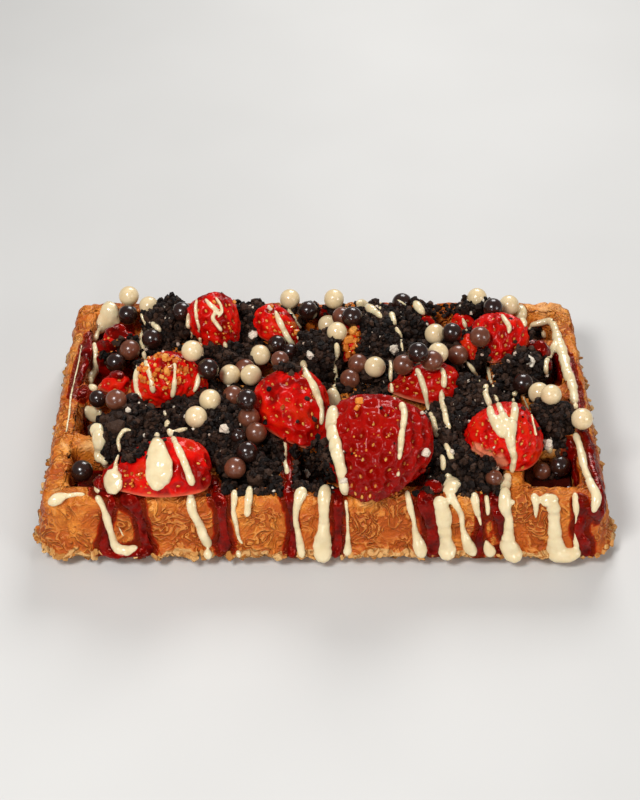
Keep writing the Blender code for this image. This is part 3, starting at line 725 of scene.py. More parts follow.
def dimpleBerry(bm, spec, level, seeds, gap):
    # raises the skin between the seeds; gives each point's marks for the material
    shape = berryShape
    wide = shape["dimpleWidth"] * gap
    dimples = nearTree(seeds)
    marks = []
    for v in bm.verts:
        onCut = v.co.y < level + 0.00002
        away = dimples.find(v.co)[2]
        hollow = math.exp(-(away / wide) ** 2)
        rimRise = math.exp(-((away - shape["rimAt"] * wide) / (shape["rimWidth"] * wide)) ** 2)
        middle = 1 - min(1.0, math.hypot(v.co.x / (spec["width"] / 2), v.co.z / (spec["length"] / 2)))
        rind = shape["rind"] * (1 - smoothStep(0.0, shape["rindDepth"], v.co.y - level))
        ripe = spec.get("ripe", shape["ripe"])
        # darker towards the tip
        ripe += shape["tipDarkening"] * max(0.0, -2 * v.co.z / spec["length"])
        # the dimple's hollow also darkens the skin in the material, as painted shade
        marks.append((1.0 if onCut else rind, hollow, middle if onCut else min(1.0, ripe)))
        if not onCut:
            edge = smoothStep(0.0, shape["edgeDepth"], v.co.y - level)
            relief = shape["dimpleRim"] * rimRise - shape["dimpleDepth"] * hollow
            v.co += v.normal * edge * relief * spec.get("rings", 1.0)
    return marks


def showFlesh(bm, marks, patches):
    # pale flesh that shows at these places in the picture
    uneven, soft = berryShape["fleshUneven"], berryShape["fleshSoft"]
    for x, y, reach in patches:
        eye, direction = sightLine((x, y))
        for k, v in enumerate(bm.verts):
            off = (v.co - eye).angle(direction) * view["focal"] + uneven * noise.noise(v.co / 0.003)
            if v.normal.dot(direction) < 0 and off < reach:
                pale = 1 - smoothStep(reach - soft, reach, off)
                marks[k] = (max(marks[k][0], pale), 0.3 * marks[k][1], 0.5)


def makeBerry(name, seed):
    spec, shape = berrySpec(name), berryShape
    gap = shape["seedGapLarge"] if spec["length"] > shape["largeFrom"] else shape["seedGap"]
    level = -spec["cutLevel"] * spec["thick"] if "cutLevel" in spec else 0.0
    bm = berryBody(spec, seed, level)
    seeds = [place for place in seedPlaces(spec, seed, gap) if place.y > level + shape["seedMargin"]]
    marks = dimpleBerry(bm, spec, level, seeds, gap)
    turn = berryTurn(spec)
    low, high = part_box(name)
    bmesh.ops.transform(bm, matrix=turn, verts=bm.verts)
    spans = [[v.co[k] for v in bm.verts] for k in range(3)]
    move = (low + high) / 2 - Vector([(min(span) + max(span)) / 2 for span in spans])
    bmesh.ops.translate(bm, vec=move, verts=bm.verts)
    bm.normal_update()
    showFlesh(bm, marks, spec.get("flesh", ()))
    skinName = name + "_skin"
    piece = addPiece(skinName, meshFrom(bm, skinName), skins["strawberry"], [name])
    setMarks(piece.data, "berryMarks", marks)
    tree = treeOf([piece])
    tip = turn.to_3x3() @ Vector((0, 0, -1))
    for place in seeds:
        here, normal = tree.find_nearest(turn @ place + move)[:2]
        side = tip.cross(normal).normalized()
        turned = facing(side, normal, shape["seedSize"])
        seedCopies.append((0, turned, here + normal * shape["seedLift"], rng.random()))
    return piece


rng = random.Random(11)
seedCopies = []
berries = [makeBerry(name, seed) for seed, name in enumerate(strawberries)]
joinCopies("strawberry_seeds", templates("drop", 1), seedCopies, "berrySeed", smooth=True)
print("strawberries made:", len(berries), "with", len(seedCopies), "seeds")


# chocolate pearls

# the CAD nodes of each kind, then the half hidden ones: place in the picture, then radius and how
# far it lies behind what it touches, in mm
pearlKinds = {
    "white": dict(
        nodes=(1, 2, 3, 4, 5, 9, 13, 14, 17, 19, 20, 21, 22, 23, 26, 27),
        hidden=((149, 306, 3.5, 6), (337, 332), (438, 353, 3.5, 11.5), (551, 395))),
    "milk": dict(
        nodes=(12, 15, 16, 24),
        hidden=((245, 369, 3.5, 12), (233, 396), (256, 433), (235, 468), (116, 400), (342, 317, 3.5, 11.5),
                (358, 364, 3.5, 6), (350, 379, 3.4, 1), (280, 360, 3.0, 3), (403, 365), (458, 355),
                (542, 471, 2.9), (494, 478, 2.7))),
    "dark": dict(
        nodes=(6, 7, 8, 10, 11, 18, 25, 28),
        hidden=((182, 312, 3.5, 10.5), (247, 400), (98, 399, 3.1), (132, 402, 3.2, 8), (116, 363), (418, 353),
                (452, 333), (493, 308, 3.5, 10.5), (560, 466), (277, 344, 3.2, 1), (290, 352, 3.0, 1),
                (247, 452), (238, 436, 2.6))),
}
pearl = dict(radius=0.0036, hiddenRadius=3.5, sink=0.0002, startHeight=0.085, touching=0.00002,
             around=28, rings=16)


def rollDown(picture, tree, radius):
    # moves a ball down its line of sight until it touches something
    eye, direction = sightLine(picture)
    here = (pearl["startHeight"] - eye.z) / direction.z
    for turn in range(300):
        free = tree.find_nearest(eye + direction * here)[3] - radius
        if free < pearl["touching"]:
            break
        here += free
    return eye + direction * here


def addPearl(bm, centre, radius):
    turn = berryTurn(dict(heading=rng.uniform(0, 360), pitch=rng.uniform(-60, 60), roll=0))
    bmesh.ops.create_uvsphere(bm, u_segments=pearl["around"], v_segments=pearl["rings"], radius=radius,
                              matrix=Matrix.Translation(centre) @ turn)


def addHiddenPearl(bm, tree, x, y, radius=pearl["hiddenRadius"], behind=0.0):
    centre = rollDown((x, y), tree, radius / 1000 - pearl["sink"])
    addPearl(bm, centre + sightLine((x, y))[1] * (behind / 1000), radius / 1000)


def makePearls(kind, spec, tree):
    bm = bmesh.new()
    replaced = ["pearl_%02d" % number for number in spec["nodes"]]
    for node in replaced:
        low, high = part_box(node)
        addPearl(bm, (low + high) / 2, pearl["radius"])
    for hidden in spec["hidden"]:
        addHiddenPearl(bm, tree, *hidden)
    name = "pearls_" + kind
    return addPiece(name, meshFrom(bm, name), skins[kind + "Pearl"], replaced)


nodes["sauce_pool_left"].data.materials[0] = skins["redSauce"]
nodes["sauce_pool_right"].data.materials[0] = skins["brownSauce"]
pools = [nodes["sauce_pool_left"], nodes["sauce_pool_right"]]
cores = sorted(name for name in nodes if name.startswith("crumbs"))
solidTree = treeOf([waffle] + berries + [nodes[name] for name in cores] + pools
                   + [nodes[name] for name in nodes if name.startswith("pearl")])
pearls = {kind: makePearls(kind, spec, solidTree) for kind, spec in pearlKinds.items()}
print("pearls made:", len(pearls), "kinds")


# cookie crumbs

crumbs = dict(  # metres, and counts per square mm
    coreFace=0.0013, coreRelief=0.0014, reliefSize=0.0030, fineReliefSize=0.0012, fineRelief=0.5,
    coreRise=0.2, coreToneAndShade=0.12,
    # smallest and largest radius, how many shapes, how far they stand out of what they lie on
    grain=(0.00032, 0.00135, 4, 0.35), lump=(0.0010, 0.0026, 4, 0.2), carpet=(0.0008, 0.0020, 6, 0.25),
    grains=1.3, lumps=0.10, carpetLumps=0.20, packedLumps=0.45, carpetGrains=1.15, packedGrains=0.9,
    onBerries=0.006, curve=1.8, squash=(0.7, 1.3), tilt=0.6, touching=0.0003,
    steepest=-0.35, lowest=0.0135, plane=0.0270, above=0.08, across=(96, 568), down=(302, 491))
bareCrust = {  # middle and half sizes in the picture of what the crumbs leave bare
    "leftBorder": ((96, 400), (36, 130)), "leftFront": ((110, 486), (86, 14)),
    "ribLeft": ((216, 474), (8, 20)), "ribMiddle": ((287, 468), (7, 28)),
    "ribRight": ((513, 474), (9, 22)), "rightRear": ((572, 352), (42, 46)),
    "poolRight": ((556, 480), (42, 26)), "rearRight": ((520, 300), (52, 8)),
    "rearLeft": ((120, 312), (38, 14)), "nutBerry": ((350, 342), (13, 20)),
    "rimLeft": ((222, 301), (16, 5)), "rimRight": ((546, 310), (40, 18)),
}
# the same of the pockets that are packed with crumbs, which are laid on along the line of sight
packedCrumbs = {
    "frontCentre": ((321, 462), (22, 22)), "leftRear": ((112, 361), (17, 9)),
    "leftSecond": ((127, 341), (10, 6)), "rearMiddle": ((252, 346), (16, 9)),
    "rearRight": ((415, 341), (14, 9)), "rightMiddle": ((510, 391), (10, 11)),
    "farRear": ((536, 333), (8, 6)), "centre": ((268, 452), (16, 18)),
    "overFrontLeft": ((132, 447), (25, 15)), "overCentre": ((289, 369), (10, 5)),
}


def makeHeap(name, seed):
    bm = nodeCopy(name)
    for turn in range(4):
        long = [e for e in bm.edges if e.calc_length() > crumbs["coreFace"] * 1.5]
        if not long:
            break
        bmesh.ops.subdivide_edges(bm, edges=long, cuts=1)
        bmesh.ops.triangulate(bm, faces=bm.faces)
    bm.normal_update()
    for v in bm.verts:
        coarse = noise.noise(v.co / crumbs["reliefSize"] + Vector((seed, 0, 0)))
        fine = noise.noise(v.co / crumbs["fineReliefSize"])
        v.co += v.normal * crumbs["coreRelief"] * (crumbs["coreRise"] + coarse + crumbs["fineRelief"] * fine)
    heapName = name + "_heap"
    heap = addPiece(heapName, meshFrom(bm, heapName), skins["cookieCrumb"], [name])
    # the heap's core is darkened: the cookie's own dark colour and painted shade in the gaps between the
    # grains
    setMarks(heap.data, "grainMarks", [[crumbs["coreToneAndShade"]] * 3] * len(heap.data.vertices))
    return heap


def tilted(normal, most):
    return (normal + Vector([rng.uniform(-most, most) for k in range(3)])).normalized()


def grainOn(place, normal, smallest, largest, shapes, standOut):
    size = smallest + (largest - smallest) * rng.random() ** crumbs["curve"]
    scale = [size * rng.uniform(*crumbs["squash"]) for k in range(3)]
    up = tilted(normal, crumbs["tilt"])
    which = rng.randrange(shapes)
    turn = standing(up, rng.uniform(0, wholeTurn), scale)
    return which, turn, place + normal * size * standOut, rng.random()


def overHeaps(share):
    # random places on the heaps, evenly by area, with the skin's normal there
    for heap in heaps:
        heap.data.calc_loop_triangles()
        for face in heap.data.loop_triangles:
            a, b, c = (heap.data.vertices[i].co for i in face.vertices)
            if face.normal.z < crumbs["steepest"] or (a.z + b.z + c.z) / 3 < crumbs["lowest"]:
                continue
            wanted = face.area * 1000000 * share
            for k in range(int(wanted) + (rng.random() < wanted % 1)):
                u, w = rng.random(), rng.random()
                if u + w > 1:
                    u, w = 1 - u, 1 - w
                yield a + (b - a) * u + (c - a) * w, face.normal.copy()


def isBare(x, y):
    return any(((x - middleX) / wide) ** 2 + ((y - middleY) / high) ** 2 < 1
               for (middleX, middleY), (wide, high) in bareCrust.values())


def overCarpet(share, tree, onBerries):
    # random places straight below the picture's crumb field, beside the heaps
    left, right = crumbs["across"]
    high, low = crumbs["down"]
    area = (right - left) * (low - high) / (pixelsPerMm * pixelsPerMm * math.sin(elevation))
    for k in range(int(area * share)):
        x, y = rng.uniform(left, right), rng.uniform(high, low)
        if isBare(x, y):
            continue
        eye, direction = sightLine((x, y))
        spot = eye + direction * ((crumbs["plane"] - eye.z) / direction.z)
        place, normal = tree.ray_cast(Vector((spot.x, spot.y, crumbs["above"])), Vector((0, 0, -1)))[:2]
        if place is None or heapTree.find_nearest(place)[3] < crumbs["touching"]:
            continue
        if berryTree.find_nearest(place)[3] > crumbs["touching"] or rng.random() < onBerries:
            yield place, normal


def spotIn(middle, halfSizes):
    # a random place in an ellipse of the picture
    turn, reach = rng.uniform(0, wholeTurn), math.sqrt(rng.random())
    return (middle[0] + halfSizes[0] * reach * math.cos(turn),
            middle[1] + halfSizes[1] * reach * math.sin(turn))


def overPacked(share, tree):
    for middle, (wide, high) in packedCrumbs.values():
        for k in range(int(math.pi * wide * high / (pixelsPerMm * pixelsPerMm) * share)):
            place, normal = seenAt(spotIn(middle, (wide, high)), tree)
            if place is not None:
                yield place, normal


heaps = [makeHeap(name, seed) for seed, name in enumerate(cores)]
berryTree, heapTree = treeOf(berries), treeOf(heaps)
bareTree = treeOf([waffle] + berries + heaps + pools)
lumps = [grainOn(place, normal, *crumbs["lump"]) for place, normal in overHeaps(crumbs["lumps"])]
lumpPiece = joinCopies("cookie_lumps", templates("lump", crumbs["lump"][2]), lumps, "cookieCrumb")
carpetPlaces = list(overCarpet(crumbs["carpetLumps"], bareTree, 0.0))
carpetPlaces += overPacked(crumbs["packedLumps"], bareTree)
carpet = [grainOn(place, normal, *crumbs["carpet"]) for place, normal in carpetPlaces]
carpetPiece = joinCopies("cookie_carpet", templates("crumb", crumbs["carpet"][2], 9), carpet,
                         "cookieCrumb")
crumbTree = treeOf([waffle] + berries + heaps + [lumpPiece, carpetPiece] + pools)
print("crumbs made:", len(heaps), "heaps,", len(lumps), "lumps and", len(carpet), "carpet lumps")


# bits of cream filling and of biscuit

creamBits = {  # place in the picture and size in mm
    "left": (225, 430, 4), "front": (306, 472, 3.6), "right": (529, 362, 4.2),
    "farRight": (549, 446, 4.4), "rearLeft": (252, 335, 3.6), "rearRight": (395, 349, 3.6),
    "centre": (310, 354, 3.2), "small": (362, 383, 1.8), "leftSmall": (128, 411, 2.2),
    "low": (345, 480, 2.4), "rearSmall": (250, 308, 2.4), "nearPearl": (383, 384, 1.6),
    "rightLow": (452, 452, 2.2), "rightHigh": (516, 354, 1.8), "middle": (426, 452, 2.6),
    "rearHigh": (270, 308, 2),
}
biscuitBits = {
    "sliceTop": (352, 331, 3.6), "sliceMiddle": (348, 341, 3.8), "sliceLow": (344, 348, 3.4),
    "sliceSide": (357, 334, 2.6), "sliceFoot": (348, 355, 2.4), "berrySide": (310, 325, 3.8),
    "berryRearA": (292, 325, 2.6), "berryRearB": (297, 332, 2.6), "rimFlake": (349, 302, 4),
    "rimFlakeB": (258, 299, 2.6), "frontFlake": (446, 494, 2.2), "berryCentre": (283, 407, 1.8),
    "berryFrontA": (344, 399, 2), "berryFrontB": (359, 402, 2.6), "berryFrontC": (358, 407, 2),
}
biscuitSprinkles = {  # middle and half sizes in the picture, count, smallest and largest radius in mm
    "berryLeft": ((162, 372), (24, 18), 80, 0.45, 1.25),
    "berryLeftEdge": ((190, 372), (16, 18), 30, 0.25, 0.5),
    "berryFrontLeft": ((140, 480), (26, 8), 30, 0.3, 0.6),
    "berryCentre": ((285, 400), (28, 26), 26, 0.2, 0.4),
    "berryFront": ((390, 440), (38, 40), 34, 0.2, 0.42),
    "berryRight": ((500, 430), (28, 26), 30, 0.2, 0.42),
    "berryRear": ((282, 322), (18, 12), 18, 0.3, 0.6),
    "berryRearLeft": ((220, 325), (14, 18), 18, 0.25, 0.5),
    "slice": ((350, 343), (8, 14), 26, 0.5, 1.1),
    "leftSlice": ((115, 350), (18, 14), 16, 0.25, 0.6),
    "midRight": ((425, 380), (26, 14), 22, 0.2, 0.45), "rear": ((490, 335), (20, 18), 10, 0.2, 0.4),
    "frontRim": ((440, 494), (60, 4), 22, 0.3, 0.6),
    "rearRim": ((330, 303), (120, 5), 40, 0.3, 0.8),
}


bitShape = dict(squash=(0.75, 1.15), standOut=0.3, biscuitShapes=3, onHeaps=0.030, onCarpet=0.035,
                onBerries=0.1, smallCream=(0.00022, 0.00075, 4, 0.35))


def bitAt(picture, size, shapes):
    place, normal = seenAt(picture, crumbTree)
    if place is None:
        return []
    scale = [size / 2000 * rng.uniform(*bitShape["squash"]) for k in range(3)]
    turned = standing(normal, rng.uniform(0, wholeTurn), scale)
    centre = place + normal * size / 2000 * bitShape["standOut"]
    return [(rng.randrange(shapes), turned, centre, rng.random())]


def makeBits():
    kinds = bitShape["smallCream"][2]
    bits = [bit for x, y, size in creamBits.values() for bit in bitAt((x, y), size, kinds)]
    places = list(overHeaps(bitShape["onHeaps"]))
    places += overCarpet(bitShape["onCarpet"], crumbTree, bitShape["onBerries"])
    bits += [grainOn(place, normal, *bitShape["smallCream"]) for place, normal in places]
    joinCopies("cream_bits", templates("lump", kinds, 20), bits, "creamBit")
    kinds = bitShape["biscuitShapes"]
    chunks = [bit for x, y, size in biscuitBits.values() for bit in bitAt((x, y), size, kinds)]
    for middle, halfSizes, count, small, large in biscuitSprinkles.values():
        for k in range(count):
            spot = spotIn(middle, halfSizes)
            size = 2 * (small + (large - small) * rng.random() ** 2)
            chunks += bitAt(spot, size, kinds)
    joinCopies("biscuit_bits", templates("chunk", kinds), chunks, "biscuitBit")
    print("bits made:", len(bits), "and", len(chunks))


makeBits()


# cream and sauce

# places in the picture and the run's width there in mm, from the top down
creamRuns = {
    "frontLeftCorner": ((50, 503, 3), (58, 499, 4), (68, 496, 2), (85, 495, 1.4)),
    "frontHook": ((97, 497, 2.6), (103, 506, 2.4), (108, 521, 2.8), (112, 535, 2.4),
        (116, 546, 3.4), (126, 551, 4.4), (137, 547, 2.4)),
    "frontHookThread": ((118, 526, 0.6), (121, 531, 0.7), (124, 537, 0.6)),
    "frontLeft": ((190, 494, 3), (192, 509, 3.3), (199, 524, 3.5), (205, 538, 3.6),
        (209, 545, 3.4)),
    "frontLeftFoot": ((207, 551, 2.6), (209, 559, 3.4)),
    "frontThread": ((235, 491, 2.5), (234, 503, 2.2), (233.5, 511, 1.9), (236.5, 526, 1.6),
        (239, 538, 1.4), (243, 544, 1.1)),
    "frontThreadFoot": ((238, 551, 2), (240, 557, 2.2)),
    "frontDrop": ((250, 488, 2.8), (248, 503, 2.5), (247, 515, 2.8)),
    "frontMiddleLeft": ((302, 491, 5.2), (297, 504, 2.8), (296, 521, 2), (298, 531, 2.1),
        (300, 544, 3), (302, 556, 3.3)),
    "frontMiddleWide": ((325, 487, 4.6), (324, 495, 4.6), (324, 505, 3.9), (324, 520, 3.7),
        (323, 534, 5), (322, 547, 6.8), (323, 557, 6)),
    "frontMiddleThin": ((346, 500, 1.6), (347, 515, 1.2), (348, 530, 1.3), (348, 543, 2.2),
        (347, 554, 3.6)),
    "frontRightKink": ((407, 492, 2.2), (410, 507, 2.4), (413, 517, 1.8), (415, 530, 2.2),
        (418, 541, 3.8), (420, 549, 4.8), (422, 555, 4.4)),
    "frontRightWide": ((440, 500, 5), (443, 512, 5.4), (444, 524, 4.8), (446, 540, 5.4),
        (447, 549, 6.6), (448, 555, 6)),
    "frontRightFork": ((450, 496, 4), (457, 506, 2.4), (461, 514, 2), (463, 530, 2.2),
        (467, 542, 3.8), (471, 549, 4.4), (474, 555, 3)),
    "frontRightShort": ((474, 494, 3.2), (476, 508, 2.8), (479, 517, 1.6), (481, 526, 0.9)),
    "frontRightDrop": ((486, 496, 2), (488, 508, 1.8), (488, 515, 1.6)),
    "frontRightFoot": ((486, 540, 1.6), (488, 547, 3.2), (491, 553, 4.6)),
    "frontRightLong": ((505, 490, 4.2), (505, 508, 4), (509, 519, 3), (508, 535, 4),
        (509, 545, 6.2), (513, 553, 6.4), (520, 559, 3)),
    "pocketPuddle": ((447, 474, 2.6), (450, 481, 4.6), (453, 488, 6), (447, 493, 4.6)),
    "frontRightSpot": ((511, 501, 2.4), (514, 503, 2.4)),
    "frontFarDrop": ((534, 495, 3), (536, 507, 2), (536, 518, 1)),
    "frontFarPatch": ((543, 499, 3), (549, 501, 4.6), (556, 499, 3)),
    "frontFarWide": ((553, 503, 5), (554, 520, 4.4), (555, 538, 5.2), (557, 553, 6.4)),
    "frontFarPool": ((550, 555, 3.6), (560, 555, 5.6), (570, 555, 4.6), (579, 552, 3)),
    "frontCornerThread": ((575, 494, 2.4), (576, 509, 2), (576, 520, 0.8), (575, 532, 1),
        (577, 547, 2.6)),
    "rightWallTop": ((530, 325, 1.8), (541, 322, 2.8), (551, 321, 3.2), (556, 330, 3.2),
        (558, 340, 4), (560, 347, 4.4), (564, 359, 4), (567, 372, 3.8), (572, 386, 3.6),
        (575, 407, 3.2)),
    "rightWallBranch": ((557, 340, 2.4), (551, 352, 2.6), (546, 363, 2), (546, 374, 2.2)),
    "rightWallLow": ((575, 434, 2.4), (579, 446, 2.8), (582, 458, 3), (586, 473, 2.8),
        (592, 487, 3.2), (596, 497, 3.8), (593, 511, 2.6)),
    "rearLeftPatch": ((108, 304, 3.4), (110, 311, 6.4), (107, 319, 8), (101, 325, 6.4),
        (97, 331, 3.6)),
    "rearLeftSide": ((109, 313, 4), (114, 318, 4.6), (117, 324, 3)),
    "leftRibRun": ((97, 331, 2.6), (94, 343, 2), (96, 357, 2.2), (95, 369, 3.4), (90, 377, 3.4),
        (90, 386, 2.6), (96, 390, 3)),
    "leftWallThread": ((82, 345, 0.9), (78, 366, 0.9), (74, 382, 0.9), (71, 398, 1), (69, 415, 1),
        (66, 433, 1)),
    "leftPatch": ((84, 409, 3), (92, 413, 5.6), (98, 419, 3.6), (101, 409, 1.6)),
    "leftPatchLow": ((94, 427, 4), (99, 433, 5.4), (100, 446, 4.4), (99, 460, 3.4)),
    "leftLoop": ((132, 431, 1.2), (126, 430, 1.5), (120, 435, 1.6), (118, 443, 1.6),
        (120, 451, 1.3), (117, 461, 1.2), (116, 470, 2.4)),
    "leftLoopBlob": ((114, 474, 4.6), (114, 481, 8.4), (116, 486, 8.2)),
    "leftSmallBlob": ((105, 459, 3.6), (107, 465, 3.6)),
    "leftEndBlob": ((96, 480, 2.4), (97, 487, 3.6), (100, 493, 3)),
    "berryLeftEdge": ((143, 329, 1.6), (142, 338, 2.2), (144, 353, 2), (148, 368, 2.2),
        (151, 378, 1.8), (153, 392, 2.4)),
    "berryLeftRim": ((138, 366, 2.2), (137, 379, 2.6), (138, 391, 2.2), (142, 399, 1.4)),
    "berryLeftMiddle": ((174, 364, 2.2), (175, 372, 1.2), (174, 383, 1.8), (172, 397, 2)),
    "berryLeftRight": ((198, 373, 1.2), (197, 383, 2.2), (194, 392, 1.6)),
    "berryFrontWide": ((157, 433, 2.4), (157, 443, 4), (158, 457, 8.4), (160, 468, 9.8),
        (158, 479, 7.6), (156, 487, 4.2)),
    "berryFrontStripe": ((169, 430, 2.6), (173, 438, 2.2), (178, 449, 2.4), (184, 462, 2.6),
        (189, 475, 2.6), (192, 484, 2.6)),
    "leftBlobRear": ((167, 420, 1.6), (168, 427, 3.2)),
    "leftBlobBridge": ((172, 432, 1.6), (180, 431, 1.6), (188, 429, 1.2)),
    "crumbStripLeft": ((162, 409, 1.4), (166, 416, 1.6)),
    "rearLeftZig": ((197, 298, 1.4), (196, 312, 1.6), (199, 324, 1.4), (200, 333, 1.2)),
    "rearLeftZag": ((205, 299, 1.4), (211, 306, 1.8), (217, 311, 1.6), (212, 317, 1.6),
        (217, 324, 1.8), (222, 331, 1.4)),
    "rearLeftZug": ((215, 297, 1.2), (220, 304, 1.2), (222, 313, 1), (217, 318, 1)),
    "rearLeftEdge": ((189, 313, 1.4), (189, 325, 2), (192, 338, 1.8)),
    "rearLeftSpot": ((200, 337, 2), (202, 347, 1.6), (203, 357, 1.8)),
    "rearLeftBlob": ((224, 342, 2), (226, 347, 2.6)),
    "rearCrumbA": ((140, 312, 1.4), (144, 320, 1.6), (148, 327, 1.4)),
    "rearCrumbB": ((152, 322, 2), (157, 328, 2.6), (161, 332, 1.4)),
    "berryRearMiddleA": ((275, 311, 1.4), (279, 320, 2.4), (284, 331, 2.2), (289, 339, 2.2),
        (295, 346, 1.2)),
    "berryRearMiddleB": ((288, 308, 1.6), (293, 316, 1.4), (297, 323, 1.4), (301, 329, 1.8)),
    "berryRearMiddleC": ((297, 331, 1), (298, 340, 1.2)),
    "berryCentre": ((303, 362, 3), (305, 372, 2.8), (310, 381, 2.8), (315, 391, 3), (319, 401, 2.6),
        (321, 412, 2.2), (321, 424, 1.8)),
    "berryCentreTop": ((303, 361, 2.2), (306, 368, 3)),
    "middleRun": ((336, 344, 2.4), (337, 353, 2.4), (334, 363, 1.6), (335, 373, 2), (335, 384, 3),
        (335, 389, 2.6)),
    "berryFrontEdge": ((332, 391, 4.2), (333, 403, 5.8), (334, 416, 5.6), (333, 432, 4.6),
        (336, 448, 4.2), (340, 463, 4), (343, 477, 3.8), (346, 494, 3.2)),
    "berryFrontRight": ((402, 404, 3.2), (404, 413, 2.6), (403, 425, 2.2), (401, 437, 2.4),
        (400, 449, 2), (399, 459, 1.6)),
    "berryFrontDrop": ((399, 471, 1.4), (398, 476, 2)),
    "rearRightCurve": ((391, 313, 3), (393, 321, 2.2), (396, 329, 2), (400, 336, 1.4),
        (401, 344, 1.2), (403, 352, 1.2)),
    "rearRim": ((357, 303, 3.4), (365, 306, 4.6), (373, 311, 3.4), (382, 318, 1.8)),
    "rearRimSmall": ((381, 303, 1.8), (380, 310, 1.6)),
    "rearRimRight": ((415, 303, 3.2), (419, 308, 3.4), (424, 314, 2.2)),
    "rearRimLeft": ((262, 300, 2.2), (275, 301, 2.6), (283, 305, 1.6)),
    "midThread": ((389, 360, 1), (391, 369, 1.8), (391, 382, 1.6), (393, 394, 1.8)),
    "midRun": ((417, 369, 2.2), (421, 378, 2.4), (425, 389, 2.4), (427, 402, 1.8), (431, 414, 2),
        (434, 425, 2.2), (437, 437, 2.4)),
    "midBerryRun": ((441, 368, 1.8), (444, 378, 2.2), (444, 387, 2.4)),
    "crumbRunRight": ((441, 391, 2), (443, 403, 2.4), (446, 416, 2.4), (449, 430, 2)),
    "crumbRunLow": ((445, 443, 1.6), (448, 450, 2.2), (453, 460, 2.4)),
    "crumbRunLower": ((441, 455, 2), (443, 463, 2), (443, 470, 1.6)),
    "rightUpperA": ((466, 361, 1.2), (472, 368, 1.8), (476, 375, 1.6), (480, 382, 1.4)),
    "rightUpperB": ((484, 366, 1.4), (489, 370, 1.8), (491, 379, 1.6), (494, 388, 1.6)),
    "berryRightA": ((487, 384, 2.8), (485, 392, 2.4), (489, 404, 2.6), (492, 416, 3),
        (498, 426, 4.2), (503, 436, 3.4)),
    "berryRightB": ((494, 395, 1.8), (499, 406, 2.2), (503, 416, 2.6), (507, 428, 4.6)),
    "berryRightC": ((513, 399, 1.6), (515, 411, 2.6), (512, 424, 3.4), (510, 435, 4),
        (511, 446, 3.2), (514, 458, 2.4), (512, 472, 2.2)),
    "berryRightD": ((522, 394, 0.7), (528, 407, 0.9), (532, 419, 1), (536, 437, 1)),
    "ribRight": ((508, 476, 4), (506, 484, 4), (504, 492, 3.8)),
    "ribCentre": ((284, 441, 2), (286, 451, 1.4), (285, 461, 1.8), (288, 475, 2)),
    "rearRightBerryA": ((501, 314, 1.2), (505, 320, 2), (509, 327, 2), (508, 334, 1.4)),
    "rearRightBerryB": ((462, 318, 1.2), (465, 325, 1.8), (467, 331, 1.6)),
    "rearRightPatch": ((521, 306, 3), (521, 313, 4.6), (521, 319, 4.6), (524, 326, 3)),
    "rearRightBits": ((529, 328, 2.4), (531, 334, 2.2)),
    "rearRightBits2": ((543, 331, 2.4), (545, 338, 2)),
    "farCrumbPatch": ((548, 441, 1.8), (549, 448, 2.6), (551, 453, 1.6)),
    "farBlob": ((512, 394, 2), (517, 394, 2.2)),
}
